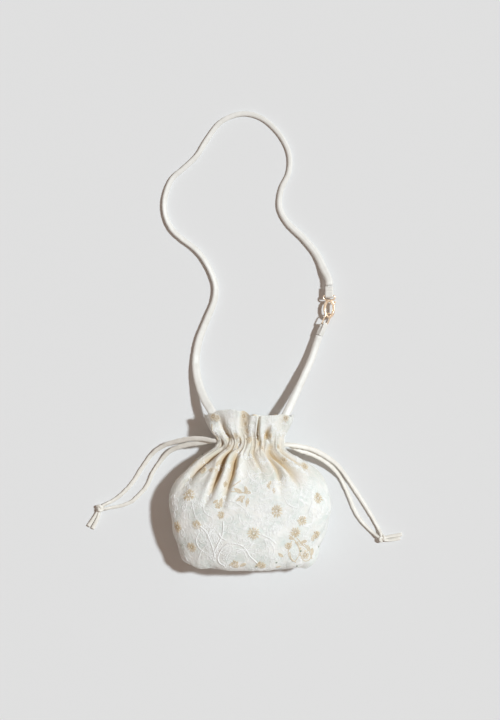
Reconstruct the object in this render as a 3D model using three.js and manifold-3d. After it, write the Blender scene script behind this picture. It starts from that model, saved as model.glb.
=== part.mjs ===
// A small gathered evening pouch of embroidered satin, lying on its back with its shoulder cord laid out.
// Millimetres, +Z up. The origin is the middle of the pouch on the surface that it lies on,
// and +Y runs from its base, through the drawstring channel and the frill, towards the cord's far bend.
import * as THREE from "three";
import { mergeVertices } from "three/addons/utils/BufferGeometryUtils.js";
import Module from "manifold-3d";

const wasm = await Module();
wasm.setup();

// Driving dimensions
const CLOTH = 2; // wall of satin, embroidered overlay and lining together
const RIM_GAP = 0.6; // between the base and the rim that it sits in
const CHANNEL_AT = 61.5; // middle of the drawstring channel, along +Y
const CHANNEL_HALF = 6.5; // half the length of the thick gathered ring that holds the channel
const CHANNEL_FADE = 4.5; // over which that ring thins out again on either side
const CHANNEL_WALL = 12.6; // thickness of the gathered ring
const TUNNEL_DEPTH = 7.1; // middle of the tunnel, below the smooth outer form
const TUNNEL_PLAY = 0.7; // beside the strings
const TUNNEL_HALF_THICK = 4;
const LANE = 2.5; // each string's lane, from the channel's middle
const STRING = 4; // drawstring diameter
const STRAP = 9.4; // shoulder cord diameter
const RIPPLES = 17; // small gathers round the channel
const AROUND = 68; // points round the pouch, four for each gather
const GOLD = { color: 0xd9a878, roughness: 0.25, metalness: 1 };
const SATIN = { color: 0xf3efe4, roughness: 0.45, metalness: 0 };

// Sections of the pouch from the base seam to the frill's edge. along: place on +Y. half: half the width.
// low, high: underside and top, where what falls below the surface is flattened by lying on it.
// shift: the middle's x. bow: how far the middle stands out past the sides, negative towards the base.
const SECTIONS = [
  { along: -101.5, half: 78, low: 6, high: 48, shift: 1, bow: 12 },
  { along: -97.5, half: 84, low: 1, high: 54, shift: 1.2, bow: 11.5 },
  { along: -87, half: 89, low: -2.6, high: 60, shift: 1.6, bow: 7 },
  { along: -74, half: 93, low: -4.4, high: 64.3, shift: 1.7, bow: 3 },
  { along: -55, half: 98.4, low: -5, high: 68.2, shift: 0.8, bow: 0.6 },
  { along: -24, half: 102.7, low: -5, high: 70.5, shift: 0, bow: 0 },
  { along: -6, half: 101.7, low: -5, high: 70, shift: 0.6, bow: 0 },
  { along: 9, half: 97, low: -4, high: 68, shift: 1.6, bow: 0 },
  { along: 20, half: 90, low: -2, high: 65.5, shift: 2.2, bow: 0 },
  { along: 29, half: 81, low: 1, high: 62.5, shift: 1.5, bow: 0 },
  { along: 37, half: 70.5, low: 4.5, high: 59, shift: -0.5, bow: 0 },
  { along: 44, half: 59.5, low: 8, high: 55.5, shift: -2, bow: 0 },
  { along: 50, half: 50.5, low: 11, high: 52, shift: -1.5, bow: 0 },
  { along: 55, half: 45.5, low: 13, high: 50, shift: 0.5, bow: 0 },
  { along: 61.5, half: 42.8, low: 14, high: 48.7, shift: 2, bow: 0 },
  { along: 68, half: 44, low: 13.5, high: 49, shift: 1.6, bow: 0 },
  { along: 74, half: 47.8, low: 12, high: 50.5, shift: 0.6, bow: 0 },
  { along: 82, half: 52, low: 10, high: 52.5, shift: 0, bow: 0 },
  { along: 91, half: 55.2, low: 8, high: 54.5, shift: -0.3, bow: 0 },
  { along: 98, half: 57, low: 7, high: 56, shift: -0.5, bow: 0 },
];

// Long pleats that run down from the channel. face: 1 front, -1 back. across: the valley's place
// across the section, from -1 at the left side to 1 at the right. reach: where it dies out, along +Y.
const PLEATS = [
  { face: 1, across: -0.84, reach: 0, depth: 5, width: 5 },
  { face: 1, across: -0.55, reach: -34, depth: 8, width: 5.5 },
  { face: 1, across: -0.28, reach: -36, depth: 7, width: 5.5 },
  { face: 1, across: 0.13, reach: 14, depth: 4, width: 4.5 },
  { face: 1, across: 0.4, reach: -6, depth: 5, width: 5 },
  { face: 1, across: 0.62, reach: -4, depth: 6, width: 6 },
  { face: 1, across: 0.86, reach: 16, depth: 3.5, width: 5 },
  { face: -1, across: -0.62, reach: 12, depth: 5, width: 6 },
  { face: -1, across: -0.2, reach: 16, depth: 4, width: 6 },
  { face: -1, across: 0.26, reach: 14, depth: 4.5, width: 6 },
  { face: -1, across: 0.66, reach: 10, depth: 5, width: 6 },
];

// Valleys of the frill. from, to: the stretch of +Y over which each one deepens.
const FRILL_VALLEYS = [
  { face: 1, across: -0.52, from: 92, to: 70, depth: 5, width: 5 },
  { face: 1, across: -0.1, from: 66, to: 92, depth: 6.5, width: 6 },
  { face: 1, across: 0.27, from: 66, to: 80, depth: 6, width: 3.5 },
  { face: 1, across: 0.52, from: 94, to: 72, depth: 5.5, width: 4.5 },
  { face: -1, across: -0.4, from: 66, to: 88, depth: 5, width: 6 },
  { face: -1, across: 0.05, from: 66, to: 88, depth: 5, width: 6 },
  { face: -1, across: 0.48, from: 66, to: 88, depth: 5, width: 6 },
];

// The shoulder cord's centreline: from inside the mouth's left end, round on the surface, to the clasp.
const STRAP_LONG_ROUTE = [
  [-37.9, 77, 31], [-39.6, 84, 30], [-43.3, 93, 28.5], [-48.8, 103, 25], [-56.7, 116, 18.5],
  [-64, 134, 11], [-68, 152, 7], [-69, 168, 5], [-64.5, 194, 4.75], [-54.5, 220, 4.75],
  [-45, 244, 4.75], [-43, 260, 4.75], [-46, 274, 4.75], [-58, 298, 4.75], [-71, 313, 4.75],
  [-87, 325, 4.75], [-101, 339, 4.75], [-109, 359, 4.75], [-108.5, 381, 4.75], [-99.5, 403, 4.75],
  [-84, 417, 4.75], [-67.5, 433, 4.75], [-55, 453, 4.75], [-36, 477, 4.75], [-9, 487.5, 4.75],
  [16, 482, 4.75], [39.5, 461, 4.75], [52, 436, 4.75], [52, 412, 4.75], [42, 389, 4.75],
  [40, 366, 4.75], [50, 346, 4.75], [70, 326.5, 4.75], [87, 306, 4.75], [97.5, 284, 6],
  [103.3, 271.5, 8.8], [103.8, 264, 9.5],
];

// The short length: from the lower tab up to the inside of the mouth's right end.
const STRAP_SHORT_ROUTE = [
  [91, 199, 9.5], [88.6, 192.3, 9.6], [81.5, 171, 12], [71.5, 148, 16], [59.5, 122, 21.5],
  [50.8, 104, 27.4], [44.6, 91, 30], [40.3, 82, 30.8], [38.4, 76.5, 31],
];

// Free strands of the drawstrings, from the channel's mouth to the knot.
const LEFT_UPPER_STRAND = [
  [-46, 64, 33.9], [-54, 65.6, 31.5], [-63, 66.6, 28.5], [-76, 66.3, 24], [-89, 63.6, 18.5],
  [-102, 60, 12.5], [-112, 55.6, 7.5], [-124.5, 46.5, 3.6], [-138, 28.5, 2.1], [-151, 8.5, 2.1],
  [-165, -6.5, 2.1], [-177.5, -15.6, 2.6], [-187.6, -20.4, 4.4],
];
const LEFT_LOWER_STRAND = [
  [-46, 64, 28.6], [-54, 62.4, 26], [-63, 60.6, 23], [-76, 58.8, 18.5], [-89, 55.6, 13.5],
  [-103, 49, 7], [-112.5, 39, 3.2], [-125, 20.5, 2.1], [-132.5, 4, 2.1], [-141, -6, 2.1],
  [-152, -16, 2.1], [-165, -21.5, 2.1], [-178, -24, 2.6], [-187, -25.6, 4.4],
];
const RIGHT_UPPER_STRAND = [
  [50, 59, 33.9], [58, 58, 32], [66, 56.5, 29.5], [79, 53.5, 25], [92, 47.5, 19.5],
  [105, 39.5, 13.5], [116, 30, 8], [125.5, 17.5, 4], [134.5, 4, 2.1], [144.5, -11.5, 2.1],
  [154.5, -27, 2.1], [162.5, -40.5, 2.1], [168.6, -52, 2.8], [171.2, -57.6, 4.4],
];
const RIGHT_LOWER_STRAND = [
  [50, 59, 28.6], [58, 55, 26.5], [68, 50.5, 23.5], [81, 46, 19], [97, 37.5, 12.5],
  [110, 26.5, 6.5], [118.5, 15.5, 2.8], [124.5, 3.5, 2.1], [130.5, -11, 2.1], [136.5, -26, 2.1],
  [143.5, -38, 2.1], [153.5, -49.5, 2.1], [161.5, -56.8, 2.8], [166.8, -61.2, 4.4],
];

// Two lengths of string end beyond each knot.
const LEFT_KNOT = { at: [-193.5, -24.6, 5], towards: [-0.84, -0.4] };
const LEFT_TAILS = [
  [[-195, -27, 3.6], [-199, -34, 2.2], [-203.5, -41, 2.1], [-208.7, -48.2, 2.1]],
  [[-194, -28, 3.2], [-195.5, -35.5, 2.2], [-199, -43.5, 2.1], [-203.3, -51.3, 2.1]],
];
const RIGHT_KNOT = { at: [172.6, -63.8, 5], towards: [0.6, -0.6] };
const RIGHT_TAILS = [
  [[175, -63.4, 3.6], [182, -61.6, 2.2], [190, -60.4, 2.1], [199, -58.8, 2.1]],
  [[175, -66, 3.2], [182, -66.2, 2.2], [189.5, -65.2, 2.1], [196.5, -63.8, 2.1]],
];

// The clasp lies flat: u is +X and v is +Y from the outside of its bend.
const CLASP_AT = [103.8, 221.4, 9.5];
const CLASP = { halfWide: 5.65, halfHigh: 10.6, middle: 12.5, barHalf: 1.95, halfThick: 2.5 };
const GATE = { low: 8.2, high: 18.2, inner: 1.9, slotTop: 22.3, slotHalf: 1.5, halfThick: 1.2 };
const PIVOT = { u: 4.4, v: 20.1, pin: 0.8, hole: 1.15 };
const EYE_BAR_AT = 29.6; // the eye's cross bar, from the bend
const EYE_WIRE = 1;
const RING = { wire: 0.9, halfWide: 6.4, shoulder: 9, corner: 1.5, turn: -24, twist: 56, slack: 1.6 };
const RING_REACH = RING.shoulder + RING.halfWide; // from its straight bar to the top of its arc
const TAB = { halfThick: 3.1, wall: 1.4, play: 0.5 };

// Geometry helpers

const MERGE = 0.001; // points this close are one
const CORD_SIDES = 8;

// Joins rings of points, each a list of the same length, into one closed surface.
// A closed row runs back to its first ring; an open one is capped at both ends.
function skin(rings, closed) {
  const around = rings[0].length;
  const points = rings.flat();
  const faces = [];
  const spans = closed ? rings.length : rings.length - 1;
  for (let i = 0; i < spans; i++) {
    for (let j = 0; j < around; j++) {
      const a = i * around + j;
      const b = i * around + ((j + 1) % around);
      const c = ((i + 1) % rings.length) * around + j;
      const d = ((i + 1) % rings.length) * around + ((j + 1) % around);
      faces.push([a, b, d], [a, d, c]);
    }
  }
  if (!closed) {
    for (const [ring, start] of [[rings[0], 0], [rings.at(-1), (rings.length - 1) * around]]) {
      const middle = ring.reduce((sum, p) => sum.add(p), new THREE.Vector3()).divideScalar(around);
      points.push(middle);
      for (let j = 0; j < around; j++) {
        const pair = [start + j, start + ((j + 1) % around)];
        if (start === 0) pair.reverse();
        faces.push([points.length - 1, ...pair]);
      }
    }
  }
  const sum = faces.reduce((v, [a, b, c]) => v + points[a].dot(points[b].clone().cross(points[c])), 0);
  if (sum < 0) faces.forEach((f) => f.reverse());
  const geometry = new THREE.BufferGeometry().setFromPoints(points);
  geometry.setIndex(faces.flat());
  geometry.computeVertexNormals();
  return geometry;
}

function toSolid(geometry) {
  const bare = geometry.clone();
  bare.deleteAttribute("normal");
  bare.deleteAttribute("uv");
  const merged = mergeVertices(bare, MERGE);
  return new wasm.Manifold(
    new wasm.Mesh({
      numProp: 3,
      vertProperties: new Float32Array(merged.attributes.position.array),
      triVerts: new Uint32Array(merged.index.array),
    }),
  );
}

function toGeometry(solid) {
  const mesh = solid.getMesh();
  const geometry = new THREE.BufferGeometry();
  geometry.setAttribute("position", new THREE.BufferAttribute(mesh.vertProperties, 3));
  geometry.setIndex(new THREE.BufferAttribute(mesh.triVerts, 1));
  geometry.computeVertexNormals();
  return geometry;
}

function curveThrough(route) {
  return new THREE.CatmullRomCurve3(route.map((p) => new THREE.Vector3(...p)), false, "centripetal");
}

// A round tube along a route, with a step about every so many millimetres.
function tubeAlong(route, diameter, step) {
  const curve = curveThrough(route);
  const section = new THREE.Shape().absarc(0, 0, diameter / 2, 0, 2 * Math.PI);
  return new THREE.ExtrudeGeometry(section, {
    steps: Math.ceil(curve.getLength() / step),
    extrudePath: curve,
    curveSegments: CORD_SIDES / 2,
    bevelEnabled: false,
  });
}

// A bar of oval section that follows a closed flat outline, in the XY plane.
function loopBar(outline, steps, halfWide, halfThick, sides) {
  const rings = [];
  for (let i = 0; i < steps; i++) {
    const at = outline.getPointAt(i / steps);
    const along = outline.getTangentAt(i / steps);
    const ring = [];
    for (let j = 0; j < sides; j++) {
      const a = (2 * Math.PI * j) / sides;
      const out = halfWide * Math.cos(a);
      ring.push(new THREE.Vector3(at.x + along.y * out, at.y - along.x * out, halfThick * Math.sin(a)));
    }
    rings.push(ring);
  }
  return skin(rings, true);
}

function block(low, high) {
  const size = high.map((h, i) => h - low[i]);
  const middle = high.map((h, i) => (h + low[i]) / 2);
  return new THREE.BoxGeometry(...size).translate(...middle);
}

const ease = (t) => {
  const c = Math.min(1, Math.max(0, t));
  return c * c * (3 - 2 * c);
};

// The pouch's form

// The section at any place along the pouch, by a smooth curve through the table's rows.
function sectionAt(along) {
  let i = 0;
  while (i < SECTIONS.length - 2 && along > SECTIONS[i + 1].along) i++;
  const rows = [-1, 0, 1, 2].map((k) => SECTIONS[Math.min(Math.max(i + k, 0), SECTIONS.length - 1)]);
  const span = rows[2].along - rows[1].along;
  const t = (along - rows[1].along) / span;
  const blend = (key) => {
    const before = (rows[2][key] - rows[0][key]) / (rows[2].along - rows[0].along);
    const after = (rows[3][key] - rows[1][key]) / (rows[3].along - rows[1].along);
    return (
      (2 * t ** 3 - 3 * t ** 2 + 1) * rows[1][key] +
      (t ** 3 - 2 * t ** 2 + t) * span * before +
      (3 * t ** 2 - 2 * t ** 3) * rows[2][key] +
      (t ** 3 - t ** 2) * span * after
    );
  };
  const keys = ["half", "low", "high", "shift", "bow"];
  return Object.fromEntries(keys.map((key) => [key, blend(key)]));
}

// A point on the smooth form, or that far inside it. The sides are a little fuller than an ellipse's.
function smoothPoint(turn, along, inside = 0) {
  const s = sectionAt(along);
  const across = Math.cos(turn);
  const up = Math.sign(Math.sin(turn)) * Math.abs(Math.sin(turn)) ** 0.85;
  return new THREE.Vector3(
    s.shift + (s.half - inside) * across,
    along + s.bow * across ** 2,
    (s.high + s.low) / 2 + ((s.high - s.low) / 2 - inside) * up,
  );
}

function outwardAt(turn, along) {
  const d = 0.02;
  const round = smoothPoint(turn + d, along).sub(smoothPoint(turn - d, along));
  const up = smoothPoint(turn, along + 20 * d).sub(smoothPoint(turn, along - 20 * d));
  return up.cross(round).normalize();
}

// How far the valleys in a table pull the cloth in at one place.
function valleyAt(valleys, turn, half, strengthOf) {
  const face = Math.sin(turn) >= 0 ? 1 : -1;
  const across = Math.cos(turn);
  let pull = 0;
  for (const v of valleys) {
    if (v.face !== face) continue;
    const off = ((across - v.across) * half) / v.width;
    pull += v.depth * strengthOf(v) * Math.exp(-off * off);
  }
  return pull * ease(Math.abs(Math.sin(turn)) / 0.3);
}

// How far the gathers, pleats and frill push the cloth out of the smooth form.
function foldAt(turn, along) {
  const { half } = sectionAt(along);
  const below = ease((along - 14) / 34);
  const gather = 1.5 * below * Math.sin(RIPPLES * turn);
  if (along <= CHANNEL_AT) {
    const pull = valleyAt(PLEATS, turn, half, (v) => {
      const down = (CHANNEL_AT - along) / (CHANNEL_AT - v.reach);
      return (0.1 + 0.9 * ease(down / 0.35)) * (1 - ease(down));
    });
    return gather - pull;
  }
  const up = ease((along - 66) / 28);
  const clear = ease((along - 66) / 7);
  const wave = 3 * up * Math.cos(7 * turn + 0.6) * ease(Math.abs(Math.sin(turn)) / 0.6);
  const pull = valleyAt(FRILL_VALLEYS, turn, half, (v) => clear * ease((along - v.from) / (v.to - v.from)));
  return gather * (1 - 0.6 * up) + wave - pull;
}

// The frill's edge stands highest left of the middle on the front.
function edgeRise(turn, along) {
  const face = Math.sin(turn) >= 0 ? 1 : -1;
  const peak = Math.exp(-(((Math.cos(turn) + 0.4 * face) / 0.38) ** 2));
  return (face > 0 ? 5.5 : 3) * peak * Math.abs(Math.sin(turn)) * ease((along - 68) / 30);
}

// How much of the thick gathered ring there is at a place along the pouch.
function channelShare(along) {
  return 1 - ease((Math.abs(along - CHANNEL_AT) - CHANNEL_HALF) / CHANNEL_FADE);
}

// A ring of the pouch's outer or inner face. What would reach below the surface lies flat on it.
function pouchRing(along, inner) {
  const ring = [];
  const share = channelShare(along);
  const flare = sectionAt(along).half - sectionAt(CHANNEL_AT).half;
  for (let i = 0; i < AROUND; i++) {
    const turn = (2 * Math.PI * i) / AROUND;
    const fold = foldAt(turn, along) * (inner ? 1 - share : 1);
    const extra = inner ? (CHANNEL_WALL + 0.7 * flare - CLOTH) * share : 0;
    const p = smoothPoint(turn, along, extra);
    p.addScaledVector(outwardAt(turn, along), inner ? fold - CLOTH : fold);
    p.y += edgeRise(turn, along);
    p.z = Math.max(p.z, inner ? CLOTH : 0);
    ring.push(p);
  }
  return ring;
}

// A point on a ring that lies a depth below the smooth form, near the channel's middle.
function insideChannel(turn, depth, lane) {
  return smoothPoint(turn, CHANNEL_AT, depth).setY(CHANNEL_AT + lane);
}

const NECK = sectionAt(CHANNEL_AT);
const NECK_MIDDLE = (NECK.high + NECK.low) / 2;

// The tunnel that the strings run through, and the slot at each side where one of them leaves it.
function channelTunnel() {
  const steps = AROUND / 2;
  const halfLong = LANE + STRING / 2 + TUNNEL_PLAY;
  const rings = [];
  for (let i = 0; i < steps; i++) {
    const turn = (2 * Math.PI * i) / steps;
    const ring = [];
    for (const [d, l] of [[1, 0.6], [0.5, 1], [-0.5, 1], [-1, 0.6], [-1, -0.6], [-0.5, -1], [0.5, -1], [1, -0.6]]) {
      ring.push(insideChannel(turn, TUNNEL_DEPTH + d * TUNNEL_HALF_THICK, l * halfLong));
    }
    rings.push(ring);
  }
  return toSolid(skin(rings, true));
}

function channelSlot(side) {
  const inner = NECK.shift + side * (NECK.half - TUNNEL_DEPTH - TUNNEL_HALF_THICK);
  const outer = NECK.shift + side * (NECK.half + 12);
  const lane = CHANNEL_AT - side * LANE;
  const halfLong = STRING / 2 + TUNNEL_PLAY;
  const halfHigh = STRING + 2.2;
  return toSolid(
    block(
      [Math.min(inner, outer), lane - halfLong, NECK_MIDDLE - halfHigh],
      [Math.max(inner, outer), lane + halfLong, NECK_MIDDLE + halfHigh],
    ),
  );
}

function pouch() {
  const places = SECTIONS.map((s) => s.along);
  const outer = places.map((along) => pouchRing(along, false));
  const inner = places.map((along) => pouchRing(along, true));
  const cloth = toSolid(skin([...outer, ...inner.reverse()], true));
  return toGeometry(cloth.subtract(channelTunnel()).subtract(channelSlot(-1)).subtract(channelSlot(1)));
}

// The oval base sits inside the pouch's open lower end and domes outwards a little.
function basePanel() {
  const rim = pouchRing(SECTIONS[0].along, true).filter((_, i) => i % 2 === 0);
  const middle = rim.reduce((sum, p) => sum.add(p), new THREE.Vector3()).divideScalar(rim.length);
  const ringAt = (share, depth) =>
    rim.map((p) => {
      const q = p.clone();
      const inset = new THREE.Vector3().subVectors(middle, p).setY(0).setLength(RIM_GAP);
      q.add(inset);
      q.x = middle.x + (q.x - middle.x) * share;
      q.z = middle.z + (q.z - middle.z) * share;
      const across = (q.x - SECTIONS[0].shift) / SECTIONS[0].half;
      q.y = SECTIONS[0].along + SECTIONS[0].bow * across ** 2 + depth - 3 * (1 - share ** 2);
      return q;
    });
  return skin([ringAt(0.4, 0.3), ringAt(1, 0.3), ringAt(1, CLOTH + 0.3), ringAt(0.4, CLOTH + 0.3)], false);
}

// Cords, knots and metal

// One drawstring: a strand from the knot, once round inside the channel, and a strand back.
function drawstring(side, upper, lower) {
  const lane = -side * LANE;
  const start = side > 0 ? 0 : Math.PI;
  const round = [];
  for (let degrees = 30; degrees <= 330; degrees += 15) {
    const turn = start + THREE.MathUtils.degToRad(degrees) * side;
    round.push(insideChannel(turn, TUNNEL_DEPTH, lane).toArray());
  }
  const into = (z) => [NECK.shift + side * (NECK.half - 5.2), CHANNEL_AT + lane, z];
  const ring = [upper[1], upper[0], into(upper[0][2] + 0.7), ...round, into(lower[0][2] - 0.7), lower[0], lower[1]];
  const hidden = toSolid(tubeAlong(ring, STRING, 9));
  return toGeometry(
    hidden.add(toSolid(tubeAlong(upper, STRING, 13))).add(toSolid(tubeAlong(lower, STRING, 13))),
  );
}

// A tight knot: a barrel with slanting wraps, flat where it lies, and the two string ends that leave it.
function knot({ at, towards }, tails) {
  const axis = new THREE.Vector3(towards[0], towards[1], 0).normalize();
  const side = new THREE.Vector3(-axis.y, axis.x, 0);
  const rings = [];
  for (let i = 0; i <= 6; i++) {
    const t = i / 6;
    const ring = [];
    for (let j = 0; j < 14; j++) {
      const a = (2 * Math.PI * j) / 14;
      const wrap = 0.45 * Math.cos(2 * a + 2.2 * Math.PI * t);
      const reach = 1.2 + 3.6 * Math.sqrt(Math.sin(Math.PI * (0.06 + 0.88 * t))) + wrap;
      const p = new THREE.Vector3(...at).addScaledVector(axis, (t - 0.5) * 9);
      p.addScaledVector(side, reach * Math.cos(a));
      p.z = Math.max(0.1, p.z + reach * Math.sin(a));
      ring.push(p);
    }
    rings.push(ring);
  }
  let solid = toSolid(skin(rings, false));
  for (const tail of tails) solid = solid.add(toSolid(tubeAlong(tail, STRING, 10)));
  return toGeometry(solid);
}

// The folded end of the cord: a loop round a bar at the origin, then a flat tab along +Y.
function tab(length, width, bar) {
  const outside = bar + TAB.play + TAB.wall;
  const profile = new THREE.Shape();
  profile.moveTo(TAB.halfThick, length);
  profile.lineTo(-TAB.halfThick, length);
  profile.lineTo(-TAB.halfThick, outside + 1.5);
  profile.absarc(0, 0, outside, Math.PI, 2 * Math.PI);
  profile.lineTo(TAB.halfThick, outside + 1.5);
  profile.holes.push(new THREE.Path().absarc(0, 0, bar + TAB.play, 0, 2 * Math.PI));
  const shape = new THREE.ExtrudeGeometry(profile, { depth: width, curveSegments: 8, bevelEnabled: false });
  return shape.translate(0, 0, -width / 2).rotateY(Math.PI / 2);
}

// The clasp's frame: an oval bar with a gap on its right for the gate, a forked hinge and an eye on top.
function claspBody() {
  const c = CLASP;
  const outline = new THREE.EllipseCurve(0, c.middle, c.halfWide, c.halfHigh);
  const oval = toSolid(loopBar(outline, 28, c.barHalf, c.halfThick, 8));
  const past = c.halfWide + c.barHalf + 1;
  const gap = toSolid(block([GATE.inner, GATE.low, -9], [past, GATE.high, 9]));
  const slot = toSolid(
    block([GATE.inner - 0.7, GATE.high - 0.3, -GATE.slotHalf], [past, GATE.slotTop, GATE.slotHalf]),
  );
  const eye = [
    [-2, 23.9, 0], [-5, 24.2, 0], [-6.9, 25.6, 0], [-7.1, 28.2, 0], [-5.8, EYE_BAR_AT, 0], [0, EYE_BAR_AT, 0],
    [5.8, EYE_BAR_AT, 0], [7.1, 28.2, 0], [6.9, 25.6, 0], [5, 24.2, 0], [2, 23.9, 0],
  ];
  const pin = new THREE.CylinderGeometry(PIVOT.pin, PIVOT.pin, 2 * c.halfThick - 0.4, 12).rotateX(Math.PI / 2);
  pin.translate(PIVOT.u, PIVOT.v, 0);
  return toGeometry(
    oval.subtract(gap).subtract(slot).add(toSolid(tubeAlong(eye, 2 * EYE_WIRE, 1.6))).add(toSolid(pin)),
  );
}

// The sprung gate: a boss on the pivot, an arm down to the bend's tip and a thumb piece outside.
function claspLever() {
  const { u, v, hole } = PIVOT;
  const tip = GATE.low + 0.35;
  const outline = new THREE.Shape();
  outline.moveTo(u - 1.9, v);
  outline.absarc(u, v, 1.9, Math.PI, 0.35 * Math.PI, true);
  outline.lineTo(8.4, 22.1);
  outline.lineTo(9.1, 20.9);
  outline.quadraticCurveTo(6.9, 19.4, 6.9, 17);
  outline.quadraticCurveTo(7.4, 12.5, 6.5, tip);
  outline.lineTo(4.1, tip);
  outline.quadraticCurveTo(4.6, 12.5, 4, 16.6);
  outline.closePath();
  outline.holes.push(new THREE.Path().absarc(u, v, hole, 0, 2 * Math.PI));
  const depth = 2 * GATE.halfThick;
  return new THREE.ExtrudeGeometry(outline, { depth, curveSegments: 6, bevelEnabled: false })
    .translate(0, 0, -GATE.halfThick);
}

function dRing() {
  const { halfWide, shoulder, corner, wire } = RING;
  const outline = new THREE.Path();
  outline.moveTo(corner - halfWide, 0);
  outline.lineTo(halfWide - corner, 0);
  outline.absarc(halfWide - corner, corner, corner, -Math.PI / 2, 0);
  outline.lineTo(halfWide, shoulder);
  outline.absarc(0, shoulder, halfWide, 0, Math.PI);
  outline.lineTo(-halfWide, corner);
  outline.absarc(corner - halfWide, corner, corner, Math.PI, 1.5 * Math.PI);
  return loopBar(outline, 28, wire, wire, 6);
}

// The assembly

function piece(name, geometry, finish) {
  const mesh = new THREE.Mesh(geometry, new THREE.MeshStandardMaterial(finish));
  mesh.name = name;
  return mesh;
}

const claspGroup = new THREE.Group();
claspGroup.position.set(...CLASP_AT);
claspGroup.add(piece("clasp_body", claspBody(), GOLD), piece("clasp_lever", claspLever(), GOLD));
const upperTab = piece("tab_upper", tab(12, 10.4, EYE_WIRE), SATIN);
upperTab.position.set(0, EYE_BAR_AT, 0);
claspGroup.add(upperTab);

// The ring hangs in the clasp's bend, turned along the short cord and twisted so that the two interlock.
const ringTurn = new THREE.Group();
const ringTwist = new THREE.Group();
const bendInside = 2 * CLASP.barHalf + RING.slack + RING.wire;
ringTurn.position.set(0, bendInside, 0);
ringTurn.rotation.z = THREE.MathUtils.degToRad(RING.turn);
ringTwist.rotation.y = THREE.MathUtils.degToRad(RING.twist);
const ringPiece = piece("d_ring", dRing(), GOLD);
ringPiece.position.set(0, -RING_REACH, 0);
const lowerTab = piece("tab_lower", tab(15.5, 9.6, RING.wire), SATIN);
lowerTab.position.set(0, -RING_REACH, 0);
lowerTab.rotation.z = Math.PI;
ringTwist.add(ringPiece, lowerTab);
ringTurn.add(ringTwist);
claspGroup.add(ringTurn);

const reticule = new THREE.Group();
reticule.add(
  piece("pouch", pouch(), SATIN),
  piece("base_panel", basePanel(), SATIN),
  piece("drawstring_left", drawstring(-1, LEFT_UPPER_STRAND, LEFT_LOWER_STRAND), SATIN),
  piece("drawstring_right", drawstring(1, RIGHT_UPPER_STRAND, RIGHT_LOWER_STRAND), SATIN),
  piece("knot_left", knot(LEFT_KNOT, LEFT_TAILS), SATIN),
  piece("knot_right", knot(RIGHT_KNOT, RIGHT_TAILS), SATIN),
  piece("strap_long", tubeAlong(STRAP_LONG_ROUTE, STRAP, 22), SATIN),
  piece("strap_short", tubeAlong(STRAP_SHORT_ROUTE, STRAP, 16), SATIN),
  claspGroup,
);

export default reticule;
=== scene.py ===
# %% [markdown]
# # A gathered satin pouch on a long shoulder cord
# The imported model is a fixed frame of plain solids. This lesson dresses it: each soft piece is made
# again, finer, in the same place, and the metal gets its polish. Everything is in metres, +Z is up, and
# the bag lies on its back with its base towards -Y.

# %% Load the frame
import math

import bmesh
import bpy
import numpy as np
from mathutils import Matrix, Quaternion, Vector
from mathutils.bvhtree import BVHTree


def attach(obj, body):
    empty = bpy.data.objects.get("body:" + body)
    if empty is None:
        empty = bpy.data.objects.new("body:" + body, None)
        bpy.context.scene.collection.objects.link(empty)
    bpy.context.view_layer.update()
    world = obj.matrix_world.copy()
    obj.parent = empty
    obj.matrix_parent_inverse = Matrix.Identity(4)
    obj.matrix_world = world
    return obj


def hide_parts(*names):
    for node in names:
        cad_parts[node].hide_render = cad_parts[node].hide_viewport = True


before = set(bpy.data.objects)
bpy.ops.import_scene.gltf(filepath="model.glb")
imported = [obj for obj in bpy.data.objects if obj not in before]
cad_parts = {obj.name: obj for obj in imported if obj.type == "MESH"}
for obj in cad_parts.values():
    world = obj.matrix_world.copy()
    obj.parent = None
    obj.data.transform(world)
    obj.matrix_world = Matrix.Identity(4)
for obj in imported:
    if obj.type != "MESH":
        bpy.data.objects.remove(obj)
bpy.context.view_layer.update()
MM = 0.001

# %% [markdown]
# ## Camera
# The photograph looks straight down on a flat lay. A long lens, high up, gives nearly parallel
# sides and hardly any of the pouch's flanks. The frame is as tall as the laid-out cord needs.

# %% Camera
def show(name, data):
    """An object in the scene for a mesh, a light or a camera."""
    made = bpy.data.objects.new(name, data)
    bpy.context.scene.collection.objects.link(made)
    return made


VIEW_HEIGHT = 0.936  # what the frame's height covers on the floor
LENS_OVER_SENSOR = 100 / 36
camera_data = bpy.data.cameras.new("overhead_camera")
camera_data.lens = 100
camera_data.sensor_width = 36
camera_data.clip_end = 20
camera = show("overhead_camera", camera_data)
camera.location = (0.0013, 0.1676, VIEW_HEIGHT * LENS_OVER_SENSOR)
bpy.context.scene.camera = camera
print("camera height", round(camera.location.z, 3), "m")

# %% [markdown]
# ## Small helpers
# Every mesh below is made from arrays of points and faces, and every tree of nodes is wired by one
# short function, so each cell can say only what is special about its piece.

# %% Helpers for meshes and nodes
def add_node(tree, kind, inputs=None, **settings):
    """A node with its settings, and its inputs set to values or linked to other nodes' outputs."""
    node = tree.nodes.new(kind)
    for name, value in settings.items():
        setattr(node, name, value)
    for name, value in (inputs or {}).items():
        if isinstance(value, bpy.types.NodeSocket):
            tree.links.new(value, node.inputs[name])
        else:
            node.inputs[name].default_value = value
    return node


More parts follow.
